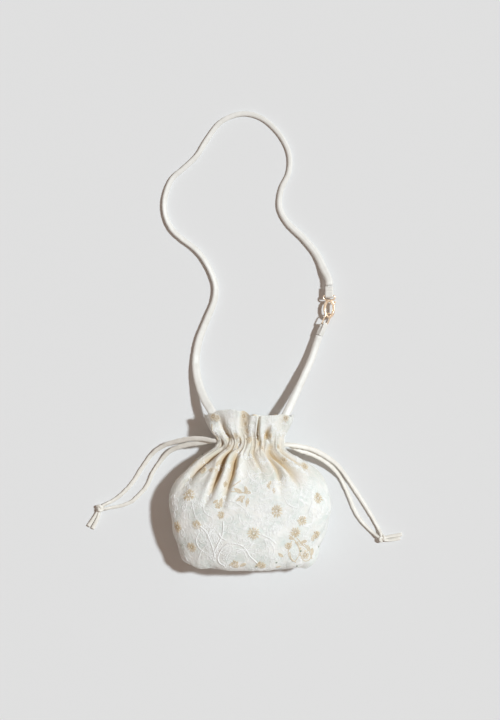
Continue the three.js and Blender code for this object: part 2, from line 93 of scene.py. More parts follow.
def make_piece(name, points, faces, material=None, uvs=None, map_round=None):
    """An object at the origin from arrays of points and faces, with one UV for each point.

    Where the map goes round the piece, the faces that close the turn run on to map_round.
    """
    mesh = bpy.data.meshes.new(name)
    mesh.from_pydata([tuple(p) for p in points], [], [tuple(f) for f in faces])
    mesh.shade_smooth()
    if uvs is not None:
        layer = mesh.uv_layers.new(name="cloth")
        corner_points = np.empty(len(mesh.loops), dtype=np.int32)
        mesh.loops.foreach_get("vertex_index", corner_points)
        corner_uvs = np.array(uvs, dtype=np.float32)[corner_points]
        if map_round:
            sizes = np.array([len(f) for f in faces])
            furthest = np.maximum.reduceat(corner_uvs[:, 0], np.cumsum(sizes) - sizes)
            corner_uvs[:, 0] += map_round * (np.repeat(furthest, sizes) - corner_uvs[:, 0] > map_round / 2)
        layer.data.foreach_set("uv", corner_uvs.ravel())
    if material is not None:
        mesh.materials.append(material)
    return show(name, mesh)


def grid_faces(rows, columns, wrap_columns=True, wrap_rows=False):
    """Quads between neighbouring rows of a grid of points."""
    row = np.arange(rows if wrap_rows else rows - 1)
    column = np.arange(columns if wrap_columns else columns - 1)
    row, column = np.meshgrid(row, column, indexing="ij")
    next_row = (row + 1) % rows
    next_column = (column + 1) % columns
    corners = (
        row * columns + column,
        row * columns + next_column,
        next_row * columns + next_column,
        next_row * columns + column,
    )
    return np.stack([c.ravel() for c in corners], axis=1)


def ease(t):
    """0 to 1 with a soft start and end."""
    t = np.clip(t, 0, 1)
    return t * t * (3 - 2 * t)


def unit(vectors):
    return vectors / np.maximum(np.linalg.norm(vectors, axis=-1, keepdims=True), 1e-12)


def full_turn(steps):
    return np.linspace(0, 2 * math.pi, steps, endpoint=False)


print("helpers ready")

# %% [markdown]
# ## Finishes
# Satin is smooth yarn floats: it is bright where it faces the light and has a soft sheen at its
# edges. Each finish is a node material that reads the piece's own UV map, laid out in metres along
# the thread, so the weave follows the cloth. The weave itself is one group that every cloth shares.

# %% Shared groups: satin weave, cloudy mottling and curling tracery
def new_group(name, output, **sizes):
    """An empty shader group: a place and named sizes go in, and one value comes out."""
    group = bpy.data.node_groups.new(name, "ShaderNodeTree")
    group.interface.new_socket("Place", in_out="INPUT", socket_type="NodeSocketVector")
    for size, value in sizes.items():
        made = group.interface.new_socket(size, in_out="INPUT", socket_type="NodeSocketFloat")
        made.default_value = value
    group.interface.new_socket(output, in_out="OUTPUT", socket_type="NodeSocketFloat")
    given, result = group.nodes.new("NodeGroupInput"), group.nodes.new("NodeGroupOutput")
    return group, given.outputs, result.inputs[output]


def math_of(tree, operation, *values):
    """The result of one sum, whose terms are values or other nodes' outputs."""
    return add_node(tree, "ShaderNodeMath", dict(enumerate(values)), operation=operation).outputs[0]


def noise_of(group, given, **settings):
    """Noise in lumps of the group's own size."""
    scale = math_of(group, "DIVIDE", 1.0, given["Size"])
    inputs = {"Vector": given["Place"], "Scale": scale, **settings}
    return add_node(group, "ShaderNodeTexNoise", inputs).outputs["Fac"]


def satin_weave_group():
    """Fine slanting ribs of thread, broken by slubs. Height is 0 to 1."""
    group, given, height = new_group("satin_weave", "Height", Thread=0.0004)
    count = math_of(group, "DIVIDE", 1.0, given["Thread"])
    scaled = add_node(group, "ShaderNodeVectorMath", {0: given["Place"], "Scale": count}, operation="SCALE")
    turned = add_node(group, "ShaderNodeMapping", {"Vector": scaled.outputs[0], "Rotation": (0, 0, 0.5)})
    ribs = {"Vector": turned.outputs[0], "Scale": 0.314, "Distortion": 0.8}
    slubs = {"Vector": turned.outputs[0], "Scale": 0.35}
    woven = [
        add_node(group, "ShaderNodeTexWave", ribs).outputs["Fac"],
        add_node(group, "ShaderNodeTexNoise", slubs).outputs["Fac"],
    ]
    group.links.new(math_of(group, "MULTIPLY", *woven), height)
    return group


def mottle_group():
    """Soft clouds of a given size, from 0 to 1."""
    group, given, cloud = new_group("cloudy_mottle", "Cloud", Size=0.02)
    clouds = noise_of(group, given, Detail=3.0, Roughness=0.6)
    spread = add_node(group, "ShaderNodeMapRange", {"Value": clouds, "From Min": 0.35, "From Max": 0.65})
    group.links.new(spread.outputs[0], cloud)
    return group


def tracery_group():
    """Curling lines of a given size and share of it, from 0 to 1: white thread worked on white cloth."""
    group, given, threads = new_group("curling_tracery", "Threads", Size=0.01, Line=0.02)
    hills = noise_of(group, given, Detail=1.0, Distortion=0.6)
    off = math_of(group, "ABSOLUTE", math_of(group, "SUBTRACT", hills, 0.5))
    share = math_of(group, "DIVIDE", off, given["Line"])
    line = add_node(
        group,
        "ShaderNodeMapRange",
        {"Value": share, "From Min": 1.6, "From Max": 0.5},
        interpolation_type="SMOOTHSTEP",
    )
    group.links.new(line.outputs[0], threads)
    return group


SATIN_WEAVE = satin_weave_group()
MOTTLE = mottle_group()
TRACERY = tracery_group()
print("groups", SATIN_WEAVE.name, MOTTLE.name, TRACERY.name)

# %% Satin for the cords, strings and tabs
def start_material(name, shader_inputs):
    """A node material with its Principled shader set up."""
    material = bpy.data.materials.new(name)
    material.use_nodes = True
    tree = material.node_tree
    shader = tree.nodes["Principled BSDF"]
    for socket, value in shader_inputs.items():
        shader.inputs[socket].default_value = value
    return material, tree, shader


def place_group(tree, group, **inputs):
    """What a shared group gives for a place and its sizes."""
    return add_node(tree, "ShaderNodeGroup", inputs, node_tree=group).outputs[0]


def colour_mix(tree, factor, first, second):
    """A blend of two colours, each a value or another node's output."""
    made = add_node(tree, "ShaderNodeMix", {"Factor": factor}, data_type="RGBA")
    for name, colour in (("A", first), ("B", second)):
        if isinstance(colour, bpy.types.NodeSocket):
            tree.links.new(colour, made.inputs[name])
        else:
            made.inputs[name].default_value = (*colour, 1)
    return made.outputs["Result"]


def bumped(tree, shader, heights, strength=1.0):
    """Relief on a finish, from pairs of height and distance laid over each other."""
    normal = None
    for height, distance in heights:
        inputs = {"Height": height, "Distance": distance, "Strength": strength}
        bump = add_node(tree, "ShaderNodeBump", inputs)
        if normal:
            tree.links.new(normal, bump.inputs["Normal"])
        normal = bump.outputs["Normal"]
    tree.links.new(normal, shader.inputs["Normal"])


def satin_cord_material(name, light, shade, thread):
    """Plain ivory satin: weave, faint clouds of colour and a soft sheen."""
    material, tree, shader = start_material(
        name, {"Roughness": 0.42, "Sheen Weight": 0.35, "Sheen Roughness": 0.4, "Specular IOR Level": 0.45}
    )
    place = add_node(tree, "ShaderNodeUVMap", uv_map="cloth").outputs["UV"]
    clouds = place_group(tree, MOTTLE, Place=place, Size=0.012)
    tree.links.new(colour_mix(tree, clouds, light, shade), shader.inputs["Base Color"])
    weave = place_group(tree, SATIN_WEAVE, Place=place, Thread=thread)
    bumped(tree, shader, [(weave, 0.00006)], 0.6)
    return material


CORD_SATIN = satin_cord_material("cord_satin", (0.84, 0.82, 0.78), (0.77, 0.75, 0.7), 0.0005)
STRING_SATIN = satin_cord_material("string_satin", (0.88, 0.85, 0.785), (0.79, 0.75, 0.68), 0.0004)
print("finishes", CORD_SATIN.name, STRING_SATIN.name)

# %% [markdown]
# ## The shoulder cord
# It is a tube of satin over a soft core, pressed flat, so its section is an oval that leans over
# and back along its way. The route is the solid's, point by point. A smooth curve goes through the
# points, and each ring of the tube is turned about it by the lean, which stands the oval on its
# edge in the bends. The tube rests on the floor, so its middle is as high as the lean asks.

# %% Routes and tubes
SPAN_STEPS = 24


def blend(first, second, low, high, t):
    """From the first point at t = low to the second at t = high."""
    return (high - t) / (high - low) * first + (t - low) / (high - low) * second


def smooth_line(points, step):
    """Points every step along a centripetal Catmull-Rom curve through the given ones."""
    points = np.asarray(points, dtype=float)
    ends = np.vstack([2 * points[0] - points[1], points, 2 * points[-1] - points[-2]])
    line = []
    for before, start, end, after in zip(ends, ends[1:], ends[2:], ends[3:]):
        gaps = [math.sqrt(np.linalg.norm(b - a)) for a, b in ((before, start), (start, end), (end, after))]
        k1 = gaps[0]
        k2 = k1 + gaps[1]
        k3 = k2 + gaps[2]
        t = np.linspace(k1, k2, SPAN_STEPS, endpoint=False)[:, None]
        middle = blend(start, end, k1, k2, t)
        low = blend(blend(before, start, 0, k1, t), middle, 0, k2, t)
        high = blend(middle, blend(end, after, k2, k3, t), k1, k3, t)
        line.append(blend(low, high, k1, k2, t))
    line = np.vstack([*line, points[-1:]])
    lengths = np.concatenate([[0], np.cumsum(np.linalg.norm(np.diff(line, axis=0), axis=1))])
    places = np.linspace(0, lengths[-1], max(2, round(lengths[-1] / step) + 1))
    return np.stack([np.interp(places, lengths, line[:, i]) for i in range(3)], axis=1), places


def oval_tube(line, places, half_wide, half_thick, lean, around=16, groove=0.0, groove_at=60):
    """Rings of an oval tube, with an optional lengthwise groove, and its UVs in metres."""
    along = unit(np.gradient(line, axis=0))
    side = unit(np.cross(along, [0, 0, 1]))
    up = np.cross(side, along)
    angle = full_turn(around)
    off = (angle - math.radians(groove_at) + math.pi) % (2 * math.pi) - math.pi
    pinch = 1 - groove * np.exp(-((off / 0.3) ** 2))
    halves = half_wide, half_thick
    half_wide, half_thick = (np.broadcast_to(half, len(line))[:, None, None] for half in halves)
    wide = half_wide * (np.cos(angle) * pinch)[None, :, None]
    thick = half_thick * (np.sin(angle) * pinch)[None, :, None]
    cos, sin = np.cos(lean)[:, None, None], np.sin(lean)[:, None, None]
    points = (
        line[:, None, :]
        + side[:, None, :] * (wide * cos - thick * sin)
        + up[:, None, :] * (wide * sin + thick * cos)
    )
    girth = math.pi * (half_wide + half_thick).mean()
    uvs = np.stack(np.broadcast_arrays(angle[None, :] / (2 * math.pi) * girth, places[:, None]), axis=-1)
    return points, uvs


def puckered(points, line, seed, depth):
    """Small seeded swellings and hollows along a tube, as a turned satin tube has."""
    rings, around = points.shape[:2]
    bumps = np.random.default_rng(seed).uniform(1 - depth, 1 + depth, (rings, 4))
    corners = np.linspace(0, 4, around, endpoint=False)
    swell = np.stack([np.interp(corners, range(5), [*row, row[0]]) for row in bumps])
    return line[:, None] + (points - line[:, None]) * swell[..., None]


def tube_piece(name, points, uvs, material):
    """A closed tube from rings of points, with a fan at each end."""
    rings, around = points.shape[:2]
    flat = points.reshape(-1, 3)
    middles = np.stack([points[0].mean(axis=0), points[-1].mean(axis=0)])
    faces = [tuple(f[::-1]) for f in grid_faces(rings, around)]
    last = (rings - 1) * around
    for i in range(around):
        j = (i + 1) % around
        faces.append((i, j, len(flat)))
        faces.append((last + j, last + i, len(flat) + 1))
    all_uvs = np.vstack([uvs.reshape(-1, 2), uvs[0].mean(axis=0), uvs[-1].mean(axis=0)])
    piece = make_piece(name, np.vstack([flat, middles]), faces, material, all_uvs, around * uvs[0, 1, 0])
    fix_outwards(piece)
    return piece


def fix_outwards(piece):
    """Turns every face of a closed mesh outwards."""
    shape = bmesh.new()
    shape.from_mesh(piece.data)
    bmesh.ops.recalc_face_normals(shape, faces=shape.faces)
    shape.to_mesh(piece.data)
    shape.free()


print("tube helpers ready")

# %% The long length of the shoulder cord, from the mouth's left end to the clasp
STRAP_LONG_ROUTE = [
    (-37.9, 77, 31), (-39.6, 84, 30), (-43.3, 93, 28.5), (-48.8, 103, 25), (-56.7, 116, 18.5),
    (-64, 134, 11), (-68, 152, 7), (-69, 168, 5), (-64.5, 194, 4.75), (-54.5, 220, 4.75),
    (-45, 244, 4.75), (-43, 260, 4.75), (-46, 274, 4.75), (-58, 298, 4.75), (-71, 313, 4.75),
    (-87, 325, 4.75), (-101, 339, 4.75), (-109, 359, 4.75), (-108.5, 381, 4.75), (-99.5, 403, 4.75),
    (-84, 417, 4.75), (-67.5, 433, 4.75), (-55, 453, 4.75), (-36, 477, 4.75), (-9, 487.5, 4.75),
    (16, 482, 4.75), (39.5, 461, 4.75), (52, 436, 4.75), (52, 412, 4.75), (42, 389, 4.75),
    (40, 366, 4.75), (50, 346, 4.75), (70, 326.5, 4.75), (87, 306, 4.75), (97.5, 284, 6),
    (103.3, 271.5, 8.8), (103.8, 264, 9.5),
]
# Rows of share of the length, half width, half thickness, and degrees that the oval leans from flat.
# The soft tube is widest where it comes out of the mouth.
STRAP_LONG_SHAPE = [
    (0, 5.6, 2.9, -10), (0.1, 5.4, 2.9, -14), (0.2, 4.6, 2.9, -32), (0.28, 3.8, 2.5, -30),
    (0.4, 3.6, 2.3, -34), (0.5, 3.4, 2.0, -25), (0.6, 3.3, 1.9, -12), (0.72, 3.1, 1.9, -6),
    (0.82, 3.4, 2.2, 0), (0.9, 4.3, 2.7, 0), (0.95, 4.8, 2.9, 0), (1, 4.9, 3.0, 0),
]


def resting_tube(route, shape_rows, step, rest_below, *section):
    """A flat cord's line, let down onto the floor where its points lie there, and its oval tube."""
    line, places = smooth_line(np.asarray(route) * MM, step)
    shares, *columns = zip(*shape_rows)
    share = places / places[-1]
    half_wide, half_thick, degrees = (np.interp(share, shares, column) for column in columns)
    lean = np.radians(degrees)
    height = MM * np.hypot(half_wide * np.sin(lean), half_thick * np.cos(lean))
    lying = ease((rest_below - line[:, 2]) / (2 * MM))
    line[:, 2] += lying * (height + 0.1 * MM - line[:, 2])
    return line, places, *oval_tube(line, places, half_wide * MM, half_thick * MM, lean, *section)


def shoulder_cord(name, route, shape_rows, seed):
    line, places, points, uvs = resting_tube(route, shape_rows, 2.5 * MM, 6.5 * MM, 24, 0.16, 100)
    piece = tube_piece(name, puckered(points, line, seed, 0.035), uvs, CORD_SATIN)
    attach(piece, "bag")
    print(name, "length", round(places[-1], 4), "m")
    return piece, line


strap_long, strap_long_line = shoulder_cord("strap_long_satin", STRAP_LONG_ROUTE, STRAP_LONG_SHAPE, 51)
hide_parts("strap_long")

# %% The short length, from the lower tab back into the mouth's right end
STRAP_SHORT_ROUTE = [
    (91, 199, 9.5), (88.6, 192.3, 9.6), (81.5, 171, 12), (71.5, 148, 16), (59.5, 122, 21.5),
    (50.8, 104, 27.4), (44.6, 91, 30), (40.3, 82, 30.8), (38.4, 76.5, 31),
]
STRAP_SHORT_SHAPE = [(0, 4.6, 2.9, 0), (0.5, 4.8, 2.7, 14), (0.85, 5.6, 2.9, 6), (1, 5.6, 2.9, 0)]
strap_short, strap_short_line = shoulder_cord("strap_short_satin", STRAP_SHORT_ROUTE, STRAP_SHORT_SHAPE, 52)
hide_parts("strap_short")

# %% [markdown]
# ## The drawstrings
# Two flat satin strings run round inside the channel. Each leaves at its own side as two strands,
# which drop to the floor and meet in a knot. The hidden run in the channel is a piece of its own,
# and each free strand is a tube that starts a little inside the channel.

# %% Strands and hidden runs
RUN_HALF_THICK = 1.5 * MM
STRANDS = {
    "drawstring_left_upper": [
        (-40, 64, 34.4), (-46, 64, 33.9), (-54, 65.6, 31.5), (-63, 66.6, 28.5), (-76, 66.3, 24),
        (-89, 63.6, 18.5), (-102, 60, 12.5), (-112, 55.6, 7.5), (-124.5, 46.5, 3.6), (-138, 28.5, 2.1),
        (-151, 8.5, 2.1), (-165, -6.5, 2.1), (-177.5, -15.6, 2.6), (-187.6, -20.4, 4.4),
        (-192.4, -23.4, 5),
    ],
    "drawstring_left_lower": [
        (-40, 64, 28.2), (-46, 64, 28.6), (-54, 62.4, 26), (-63, 60.6, 23), (-76, 58.8, 18.5),
        (-89, 55.6, 13.5), (-103, 49, 7), (-112.5, 39, 3.2), (-125, 20.5, 2.1), (-132.5, 4, 2.1),
        (-141, -6, 2.1), (-152, -16, 2.1), (-165, -21.5, 2.1), (-178, -24, 2.6), (-187, -25.6, 4.4),
        (-192, -25.2, 4.6),
    ],
    "drawstring_right_upper": [
        (44, 59, 34.4), (50, 59, 33.9), (58, 58, 32), (66, 56.5, 29.5), (79, 53.5, 25), (92, 47.5, 19.5),
        (105, 39.5, 13.5), (116, 30, 8), (125.5, 17.5, 4), (134.5, 4, 2.1), (144.5, -11.5, 2.1),
        (154.5, -27, 2.1), (162.5, -40.5, 2.1), (168.6, -52, 2.8), (171.2, -57.6, 4.4),
        (172.4, -62, 5),
    ],
    "drawstring_right_lower": [
        (44, 59, 28.2), (50, 59, 28.6), (58, 55, 26.5), (68, 50.5, 23.5), (81, 46, 19), (97, 37.5, 12.5),
        (110, 26.5, 6.5), (118.5, 15.5, 2.8), (124.5, 3.5, 2.1), (130.5, -11, 2.1), (136.5, -26, 2.1),
        (143.5, -38, 2.1), (153.5, -49.5, 2.1), (161.5, -56.8, 2.8), (166.8, -61.2, 4.4),
        (171.4, -63.6, 4.6),
    ],
}
STRAND_SHAPE = [
    (0, 2.8, 1.5, 35), (0.08, 3.1, 1.4, 10), (0.3, 3.1, 1.4, 10), (0.5, 2.8, 1.5, 30), (0.7, 2.7, 1.5, 5),
    (0.88, 2.4, 1.5, 25), (1, 2.2, 1.6, 50),
]
# Where a string counts as lying on the floor, its sides, and its groove's depth and place
STRING_SECTION = (4 * MM, 14, 0.12, 90)
strands = {}
for name, route in STRANDS.items():
    line, places, points, uvs = resting_tube(route, STRAND_SHAPE, 1.6 * MM, *STRING_SECTION)
    points = puckered(points, line, len(strands), 0.11)
    strand = tube_piece(name, points, uvs, STRING_SATIN)
    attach(strand, "bag")
    strands[name] = (strand, line, places[-1])
    print(name, "length", round(places[-1], 4), "m")

# %% [markdown]
# ## The pouch
# The body is one sheet of lined satin with a sheer embroidered layer over it, gathered on two
# strings. A lofted shell would be too smooth, and a simulated one forgets where the photograph's
# folds are. So the sheet is worked out point by point: a smooth form from the solid's own sections,
# then long pleats from a table, then small gathers, hem and puckers, each pushed along the form's
# own outward direction. Every other piece on the cloth can ask the same functions where it lies.

# %% The smooth form, from the solid's sections
# Rows of place along +Y, half width, underside, top, middle's x, and how far the middle stands out
SECTIONS = MM * np.array([
    (-101.5, 78, 6, 48, 1, 12), (-97.5, 84, 1, 54, 1.2, 11.5), (-87, 89, -2.6, 60, 1.6, 7),
    (-74, 93, -4.4, 64.3, 1.7, 3), (-55, 98.4, -5, 68.2, 0.8, 0.6), (-24, 102.7, -5, 70.5, 0, 0),
    (-6, 101.7, -5, 70, 0.6, 0), (9, 97, -4, 68, 1.6, 0), (20, 90, -2, 65.5, 2.2, 0),
    (29, 81, 1, 62.5, 1.5, 0), (37, 70.5, 4.5, 59, -0.5, 0), (44, 59.5, 8, 55.5, -2, 0),
    (50, 50.5, 11, 52, -1.5, 0), (55, 45.5, 13, 50, 0.5, 0), (61.5, 42.8, 14, 48.7, 2, 0),
    (68, 44, 13.5, 49, 1.6, 0), (74, 47.8, 12, 50.5, 0.6, 0), (82, 52, 10, 52.5, 0, 0),
    (91, 55.2, 8, 54.5, -0.3, 0), (98, 57, 7, 56, -0.5, 0),
])
BASE_AT = SECTIONS[0, 0]
CHANNEL_AT = 61.5 * MM
RIM_AT = SECTIONS[-1, 0]


def section_at(along):
    """Half width, underside, top, middle and bow at each place along the pouch."""
    at, values = SECTIONS[:, 0], SECTIONS[:, 1:]
    slopes = np.empty_like(values)
    slopes[1:-1] = (values[2:] - values[:-2]) / (at[2:] - at[:-2])[:, None]
    slopes[0] = (values[1] - values[0]) / (at[1] - at[0])
    slopes[-1] = (values[-1] - values[-2]) / (at[-1] - at[-2])
    i = np.clip(np.searchsorted(at, along) - 1, 0, len(at) - 2)
    span = (at[i + 1] - at[i])[..., None]
    t = np.asarray(along - at[i])[..., None] / span
    found = (
        (2 * t**3 - 3 * t**2 + 1) * values[i]
        + (t**3 - 2 * t**2 + t) * span * slopes[i]
        + (3 * t**2 - 2 * t**3) * values[i + 1]
        + (t**3 - t**2) * span * slopes[i + 1]
    )
    return np.moveaxis(found, -1, 0)


def form_point(turn, along, inside=0.0):
    """A point on the smooth form, or that far inside it."""
    half, low, high, middle, bow = section_at(along)
    across = np.cos(turn)
    up = np.sign(np.sin(turn)) * np.abs(np.sin(turn)) ** 0.85
    return np.stack([
        middle + (half - inside) * across,
        along + bow * across**2,
        (high + low) / 2 + ((high - low) / 2 - inside) * up,
    ], axis=-1)


def form_outward(turn, along):
    small = 0.02
    round_it = form_point(turn + small, along) - form_point(turn - small, along)
    up_it = form_point(turn, along + 20 * small * MM) - form_point(turn, along - 20 * small * MM)
    return unit(np.cross(up_it, round_it))


print("form is", round(2 * SECTIONS[:, 1].max() * 1000), "mm wide")

# %% [markdown]
# Each pleat is a valley that starts at the channel and runs down the cloth in a gentle curve. Its
# two walls differ: the cloth folds over sharply on one side and rolls away on the other. The frill
# above the channel has valleys of its own, and small gathers run through the channel from one into
# the other. They are drawn with a fixed seed, so the bag looks the same each time. What the valleys
# add up to is kept as an attribute that paints shade into the folds as a darker gold, partly also
# the tint of the sheer layer where it bunches.

# %% Pleats, frill and gathers
# Rows of face, place across at the channel, halfway and at the end, end along +Y, depth, and the
# widths of the two walls
PLEATS = [
    (1, -0.74, -0.84, -0.93, -14, 6.5, 3.0, 6.0), (1, -0.50, -0.475, -0.60, -30, 12.0, 3.0, 3.6),
    (1, -0.235, -0.285, -0.36, -40, 9.0, 4.4, 3.2), (1, 0.13, 0.15, 0.15, 6, 2.6, 1.8, 3.4),
    (1, 0.53, 0.40, 0.40, -18, 5.4, 2.6, 4.4), (1, 0.60, 0.585, 0.63, -10, 7.5, 3.6, 6.5),
    (1, 0.88, 0.86, 0.84, 12, 3.6, 4.0, 5.0), (-1, -0.70, -0.76, -0.84, 0, 5.5, 4.0, 5.0),
    (-1, -0.30, -0.33, -0.38, 6, 6.0, 4.5, 4.0), (-1, 0.12, 0.11, 0.10, 14, 5.0, 3.5, 4.5),
    (-1, 0.48, 0.52, 0.56, 2, 6.0, 4.0, 5.0), (-1, 0.82, 0.87, 0.90, 10, 4.0, 4.0, 4.0),
]
# Rows of face, place across at the channel and at the rim, where it is deepest and where it dies out,
# depth, widths of the two walls, and how square its bottom is
FRILL_VALLEYS = [
    (1, -0.64, -0.70, 68, 100, 5.5, 2.6, 5.0, 2), (1, -0.22, -0.10, 94, 58, 5.5, 4.4, 7.0, 4),
    (1, 0.20, 0.23, 74, 118, 7.0, 1.1, 1.6, 2), (1, 0.46, 0.52, 70, 88, 7.5, 3.4, 3.0, 2),
    (1, 0.80, 0.78, 96, 62, 2.2, 5.0, 5.0, 2), (-1, -0.70, -0.62, 92, 62, 6.0, 4.5, 5.0, 2),
    (-1, -0.25, -0.32, 92, 62, 6.5, 5.0, 4.0, 2), (-1, 0.18, 0.12, 92, 62, 6.0, 4.0, 5.0, 2),
    (-1, 0.62, 0.66, 92, 62, 6.0, 5.0, 4.5, 2),
]
# Rows of place across and along +Y, depth, and how wide and long each pinched hollow is
PINCHES = [
    (-0.86, 60, 4.5, 2.6, 4), (-0.34, 59, 5.5, 2.2, 4), (0.25, 61, 5.0, 2.0, 4.5),
    (0.62, 57, 3.5, 2.4, 4),
]
chance = np.random.default_rng(7)
GATHERS_ROUND = 54
GATHERS = [
    (
        1 if n % 2 == 0 else -1,
        -0.97 + 1.94 * (n // 2 + chance.uniform(0.1, 0.9)) / (GATHERS_ROUND / 2),
        chance.uniform(20, 48),
        chance.uniform(66, 86),
        chance.uniform(1.0, 2.6),
        chance.uniform(1.0, 1.7),
    )
    for n in range(GATHERS_ROUND)
]


def on_face(turn, face):
    """1 over one face of the pouch, fading to 0 at its side edges."""
    return ease(face * np.sin(turn) / 0.3)


def wall_shape(off, left, right, power=2):
    """A valley's depth, from 0 to 1, at a distance across it, with walls of two widths."""
    return np.exp(-np.abs(off / np.where(off < 0, left, right)) ** power)


def rolls_beside(off, left, right):
    """The rounded cloth that stands up on both sides of a valley."""
    before = wall_shape(off + 2.1 * left, 1.6 * left, 1.6 * left)
    return before + wall_shape(off - 2.1 * right, 1.7 * right, 1.7 * right)


def pleats_at(turn, across, place, half):
    push, valley = 0.0, 0.0
    channel = CHANNEL_AT / MM
    for face, top, middle, end, reach, depth, left, right in PLEATS:
        down = np.clip((channel - place) / (channel - reach), 0, 1)
        strength = (0.15 + 0.85 * ease(down / 0.28)) * (1 - ease((down - 0.25) / 0.75))
        strength *= ease((channel + 4 - place) / 8)
        line = (1 - down) * (1 - 2 * down) * top
        line = line + 4 * down * (1 - down) * middle + down * (2 * down - 1) * end
        off = (across - line) * half / MM
        spread = 0.8 + 0.7 * down
        here = on_face(turn, face) * strength * depth
        shape = wall_shape(off, left * spread, right * spread, 1.7)
        push = push + here * (0.3 * rolls_beside(off, left, right) - shape)
        valley = valley + here * shape
    return push, valley


def frill_at(turn, across, place, half):
    push, valley = 0.0, 0.0
    for face, low, high, best, dead, depth, left, right, power in FRILL_VALLEYS:
        strength = ease((place - dead) / (best - dead)) * ease((place - 62) / 8)
        line = low + (high - low) * np.clip((place - CHANNEL_AT / MM) / 36, 0, 1)
        off = (across - line) * half / MM
        here = on_face(turn, face) * strength * depth
        shape = wall_shape(off, left, right, power)
        push = push + here * (0.22 * rolls_beside(off, left, right) - shape)
        valley = valley + here * shape
    return push, valley


def gathers_at(turn, across, place, half):
    push, valley = 0.0, 0.0
    channel = CHANNEL_AT / MM
    for face, line, low, high, depth, width in GATHERS:
        strength = ease((place - low) / (channel - 8 - low)) * (1 - ease((place - 64) / (high - 64)))
        off = (across - line) * half / MM
        here = on_face(turn, face) * strength * depth
        shape = wall_shape(off, width, width, 1.6)
        push = push + here * (0.42 * wall_shape(off, 2.4 * width, 2.4 * width) - shape)
        valley = valley + 0.6 * here * shape
    for line, at, depth, width, length in PINCHES:
        off = (across - line) * half / MM
        shape = on_face(turn, 1) * np.exp(-((off / width) ** 2) - ((place - at) / length) ** 2)
        push = push - depth * shape
        valley = valley + 0.8 * depth * shape
    return push, valley


def fold_of(turn, along):
    """How far folds push the cloth out of the form, and how much painted shade, with some tint of the bunched
    sheer layer, each place gets from its valleys.
    """
    half = section_at(along)[0]
    parts = [kind(turn, np.cos(turn), along / MM, half) for kind in (pleats_at, frill_at, gathers_at)]
    return sum(p[0] for p in parts) * MM, sum(p[1] for p in parts)


print("pleats", len(PLEATS), "frill valleys", len(FRILL_VALLEYS), "gathers", len(GATHERS))

# %% [markdown]
# The rest is small: a casing that puffs a little between its two stitch lines, cloth that is never
# quite flat, a wavy edge, and an underside pressed flat where the pouch rests on the floor.

# %% The finished cloth
def cloth_noise(turn, along, round_cells, cell, seed):
    """Smooth random values from -1 to 1 that meet where the cloth closes on itself."""
    values = np.random.default_rng(seed).uniform(-1, 1, (round_cells, 64))
    u = (turn / (2 * math.pi) * round_cells) % round_cells
    v = (along - BASE_AT) / cell + 4
    i, j = np.floor(u).astype(int), np.floor(v).astype(int)
    du, dv = ease(u - i), ease(v - j)
    i2 = (i + 1) % round_cells
    low = values[i % round_cells, j % 64] * (1 - du) + values[i2, j % 64] * du
    high = values[i % round_cells, (j + 1) % 64] * (1 - du) + values[i2, (j + 1) % 64] * du
    return low * (1 - dv) + high * dv


CASING_LINES = (54.5 * MM, 68.5 * MM)
# Rows of place across and how much higher the frill's front edge stands there
RIM_RISE = [
    (-1, -3), (-0.85, 0.5), (-0.62, 4.6), (-0.3, 5.4), (-0.1, 3), (0.03, -2), (0.25, -3.6), (0.3, -2.2),
    (0.85, -2), (1, -3),
]
# Rows of place along +Y and how much further right the right side stands there
RIGHT_SIDE = [(-101, 1), (-86, -2), (-73, -4.2), (-48, 1), (-27, 3.6), (0, 2), (20, 0)]
# Rows of place across and along +Y, and the width, length and height of each swelling of the frill
LIFTS = [(-0.96, 78, 0.14, 9, 8), (-0.5, 85, 0.15, 12, 3.6)]
REST_SOFTNESS = 0.8 * MM
SIDE_SEAM_DEPTH = 0.5 * MM
SEAM_SOFTNESS = 1.3 * MM


def cloth_push(turn, along):
    """All that pushes the cloth out of the form, and the painted shade and tint of its valleys."""
    push, valley = fold_of(turn, along)
    casing = ease((along - CASING_LINES[0]) / (4 * MM)) * ease((CASING_LINES[1] - along) / (4 * MM))
    near = np.exp(-(((along - CHANNEL_AT) / (17 * MM)) ** 2))
    push += casing * 0.6 * MM
    push += 0.8 * MM * near * cloth_noise(turn, along, 90, 11 * MM, 3)
    for line in CASING_LINES:
        push -= 0.35 * MM * np.exp(-(((along - line) / SEAM_SOFTNESS) ** 2))
    _, underside, top, *_ = section_at(along)
    to_side = np.abs(np.sin(turn)) * (top - underside) / 2
    below_casing = ease((CASING_LINES[0] - along) / (12 * MM))
    push -= SIDE_SEAM_DEPTH * np.exp(-((to_side / SEAM_SOFTNESS) ** 2)) * below_casing
    body = ease((CHANNEL_AT - along) / (30 * MM))
    push += body * 1.3 * MM * cloth_noise(turn, along, 14, 34 * MM, 11)
    push += body * 1.1 * MM * cloth_noise(turn + along * 6, along, 34, 16 * MM, 5)
    frill = ease((along - 70 * MM) / (20 * MM))
    push += frill * 1.6 * MM * cloth_noise(turn, along, 30, 24 * MM, 21)
    base = ease((BASE_AT + 15 * MM - along) / (15 * MM))
    push += base * 0.8 * MM * cloth_noise(turn, along, 70, 12 * MM, 8)
    return push, valley


def rim_rise(turn, across, face):
    """How much higher or lower the frill's edge stands round the mouth."""
    places, rises = zip(*RIM_RISE)
    rise = np.interp(across, places, rises) * ease(face / 0.25) - 3 * ease(-face / 0.25)
    return MM * (rise + 1.2 * cloth_noise(turn, turn * 0 + RIM_AT, 40, 1, 13))


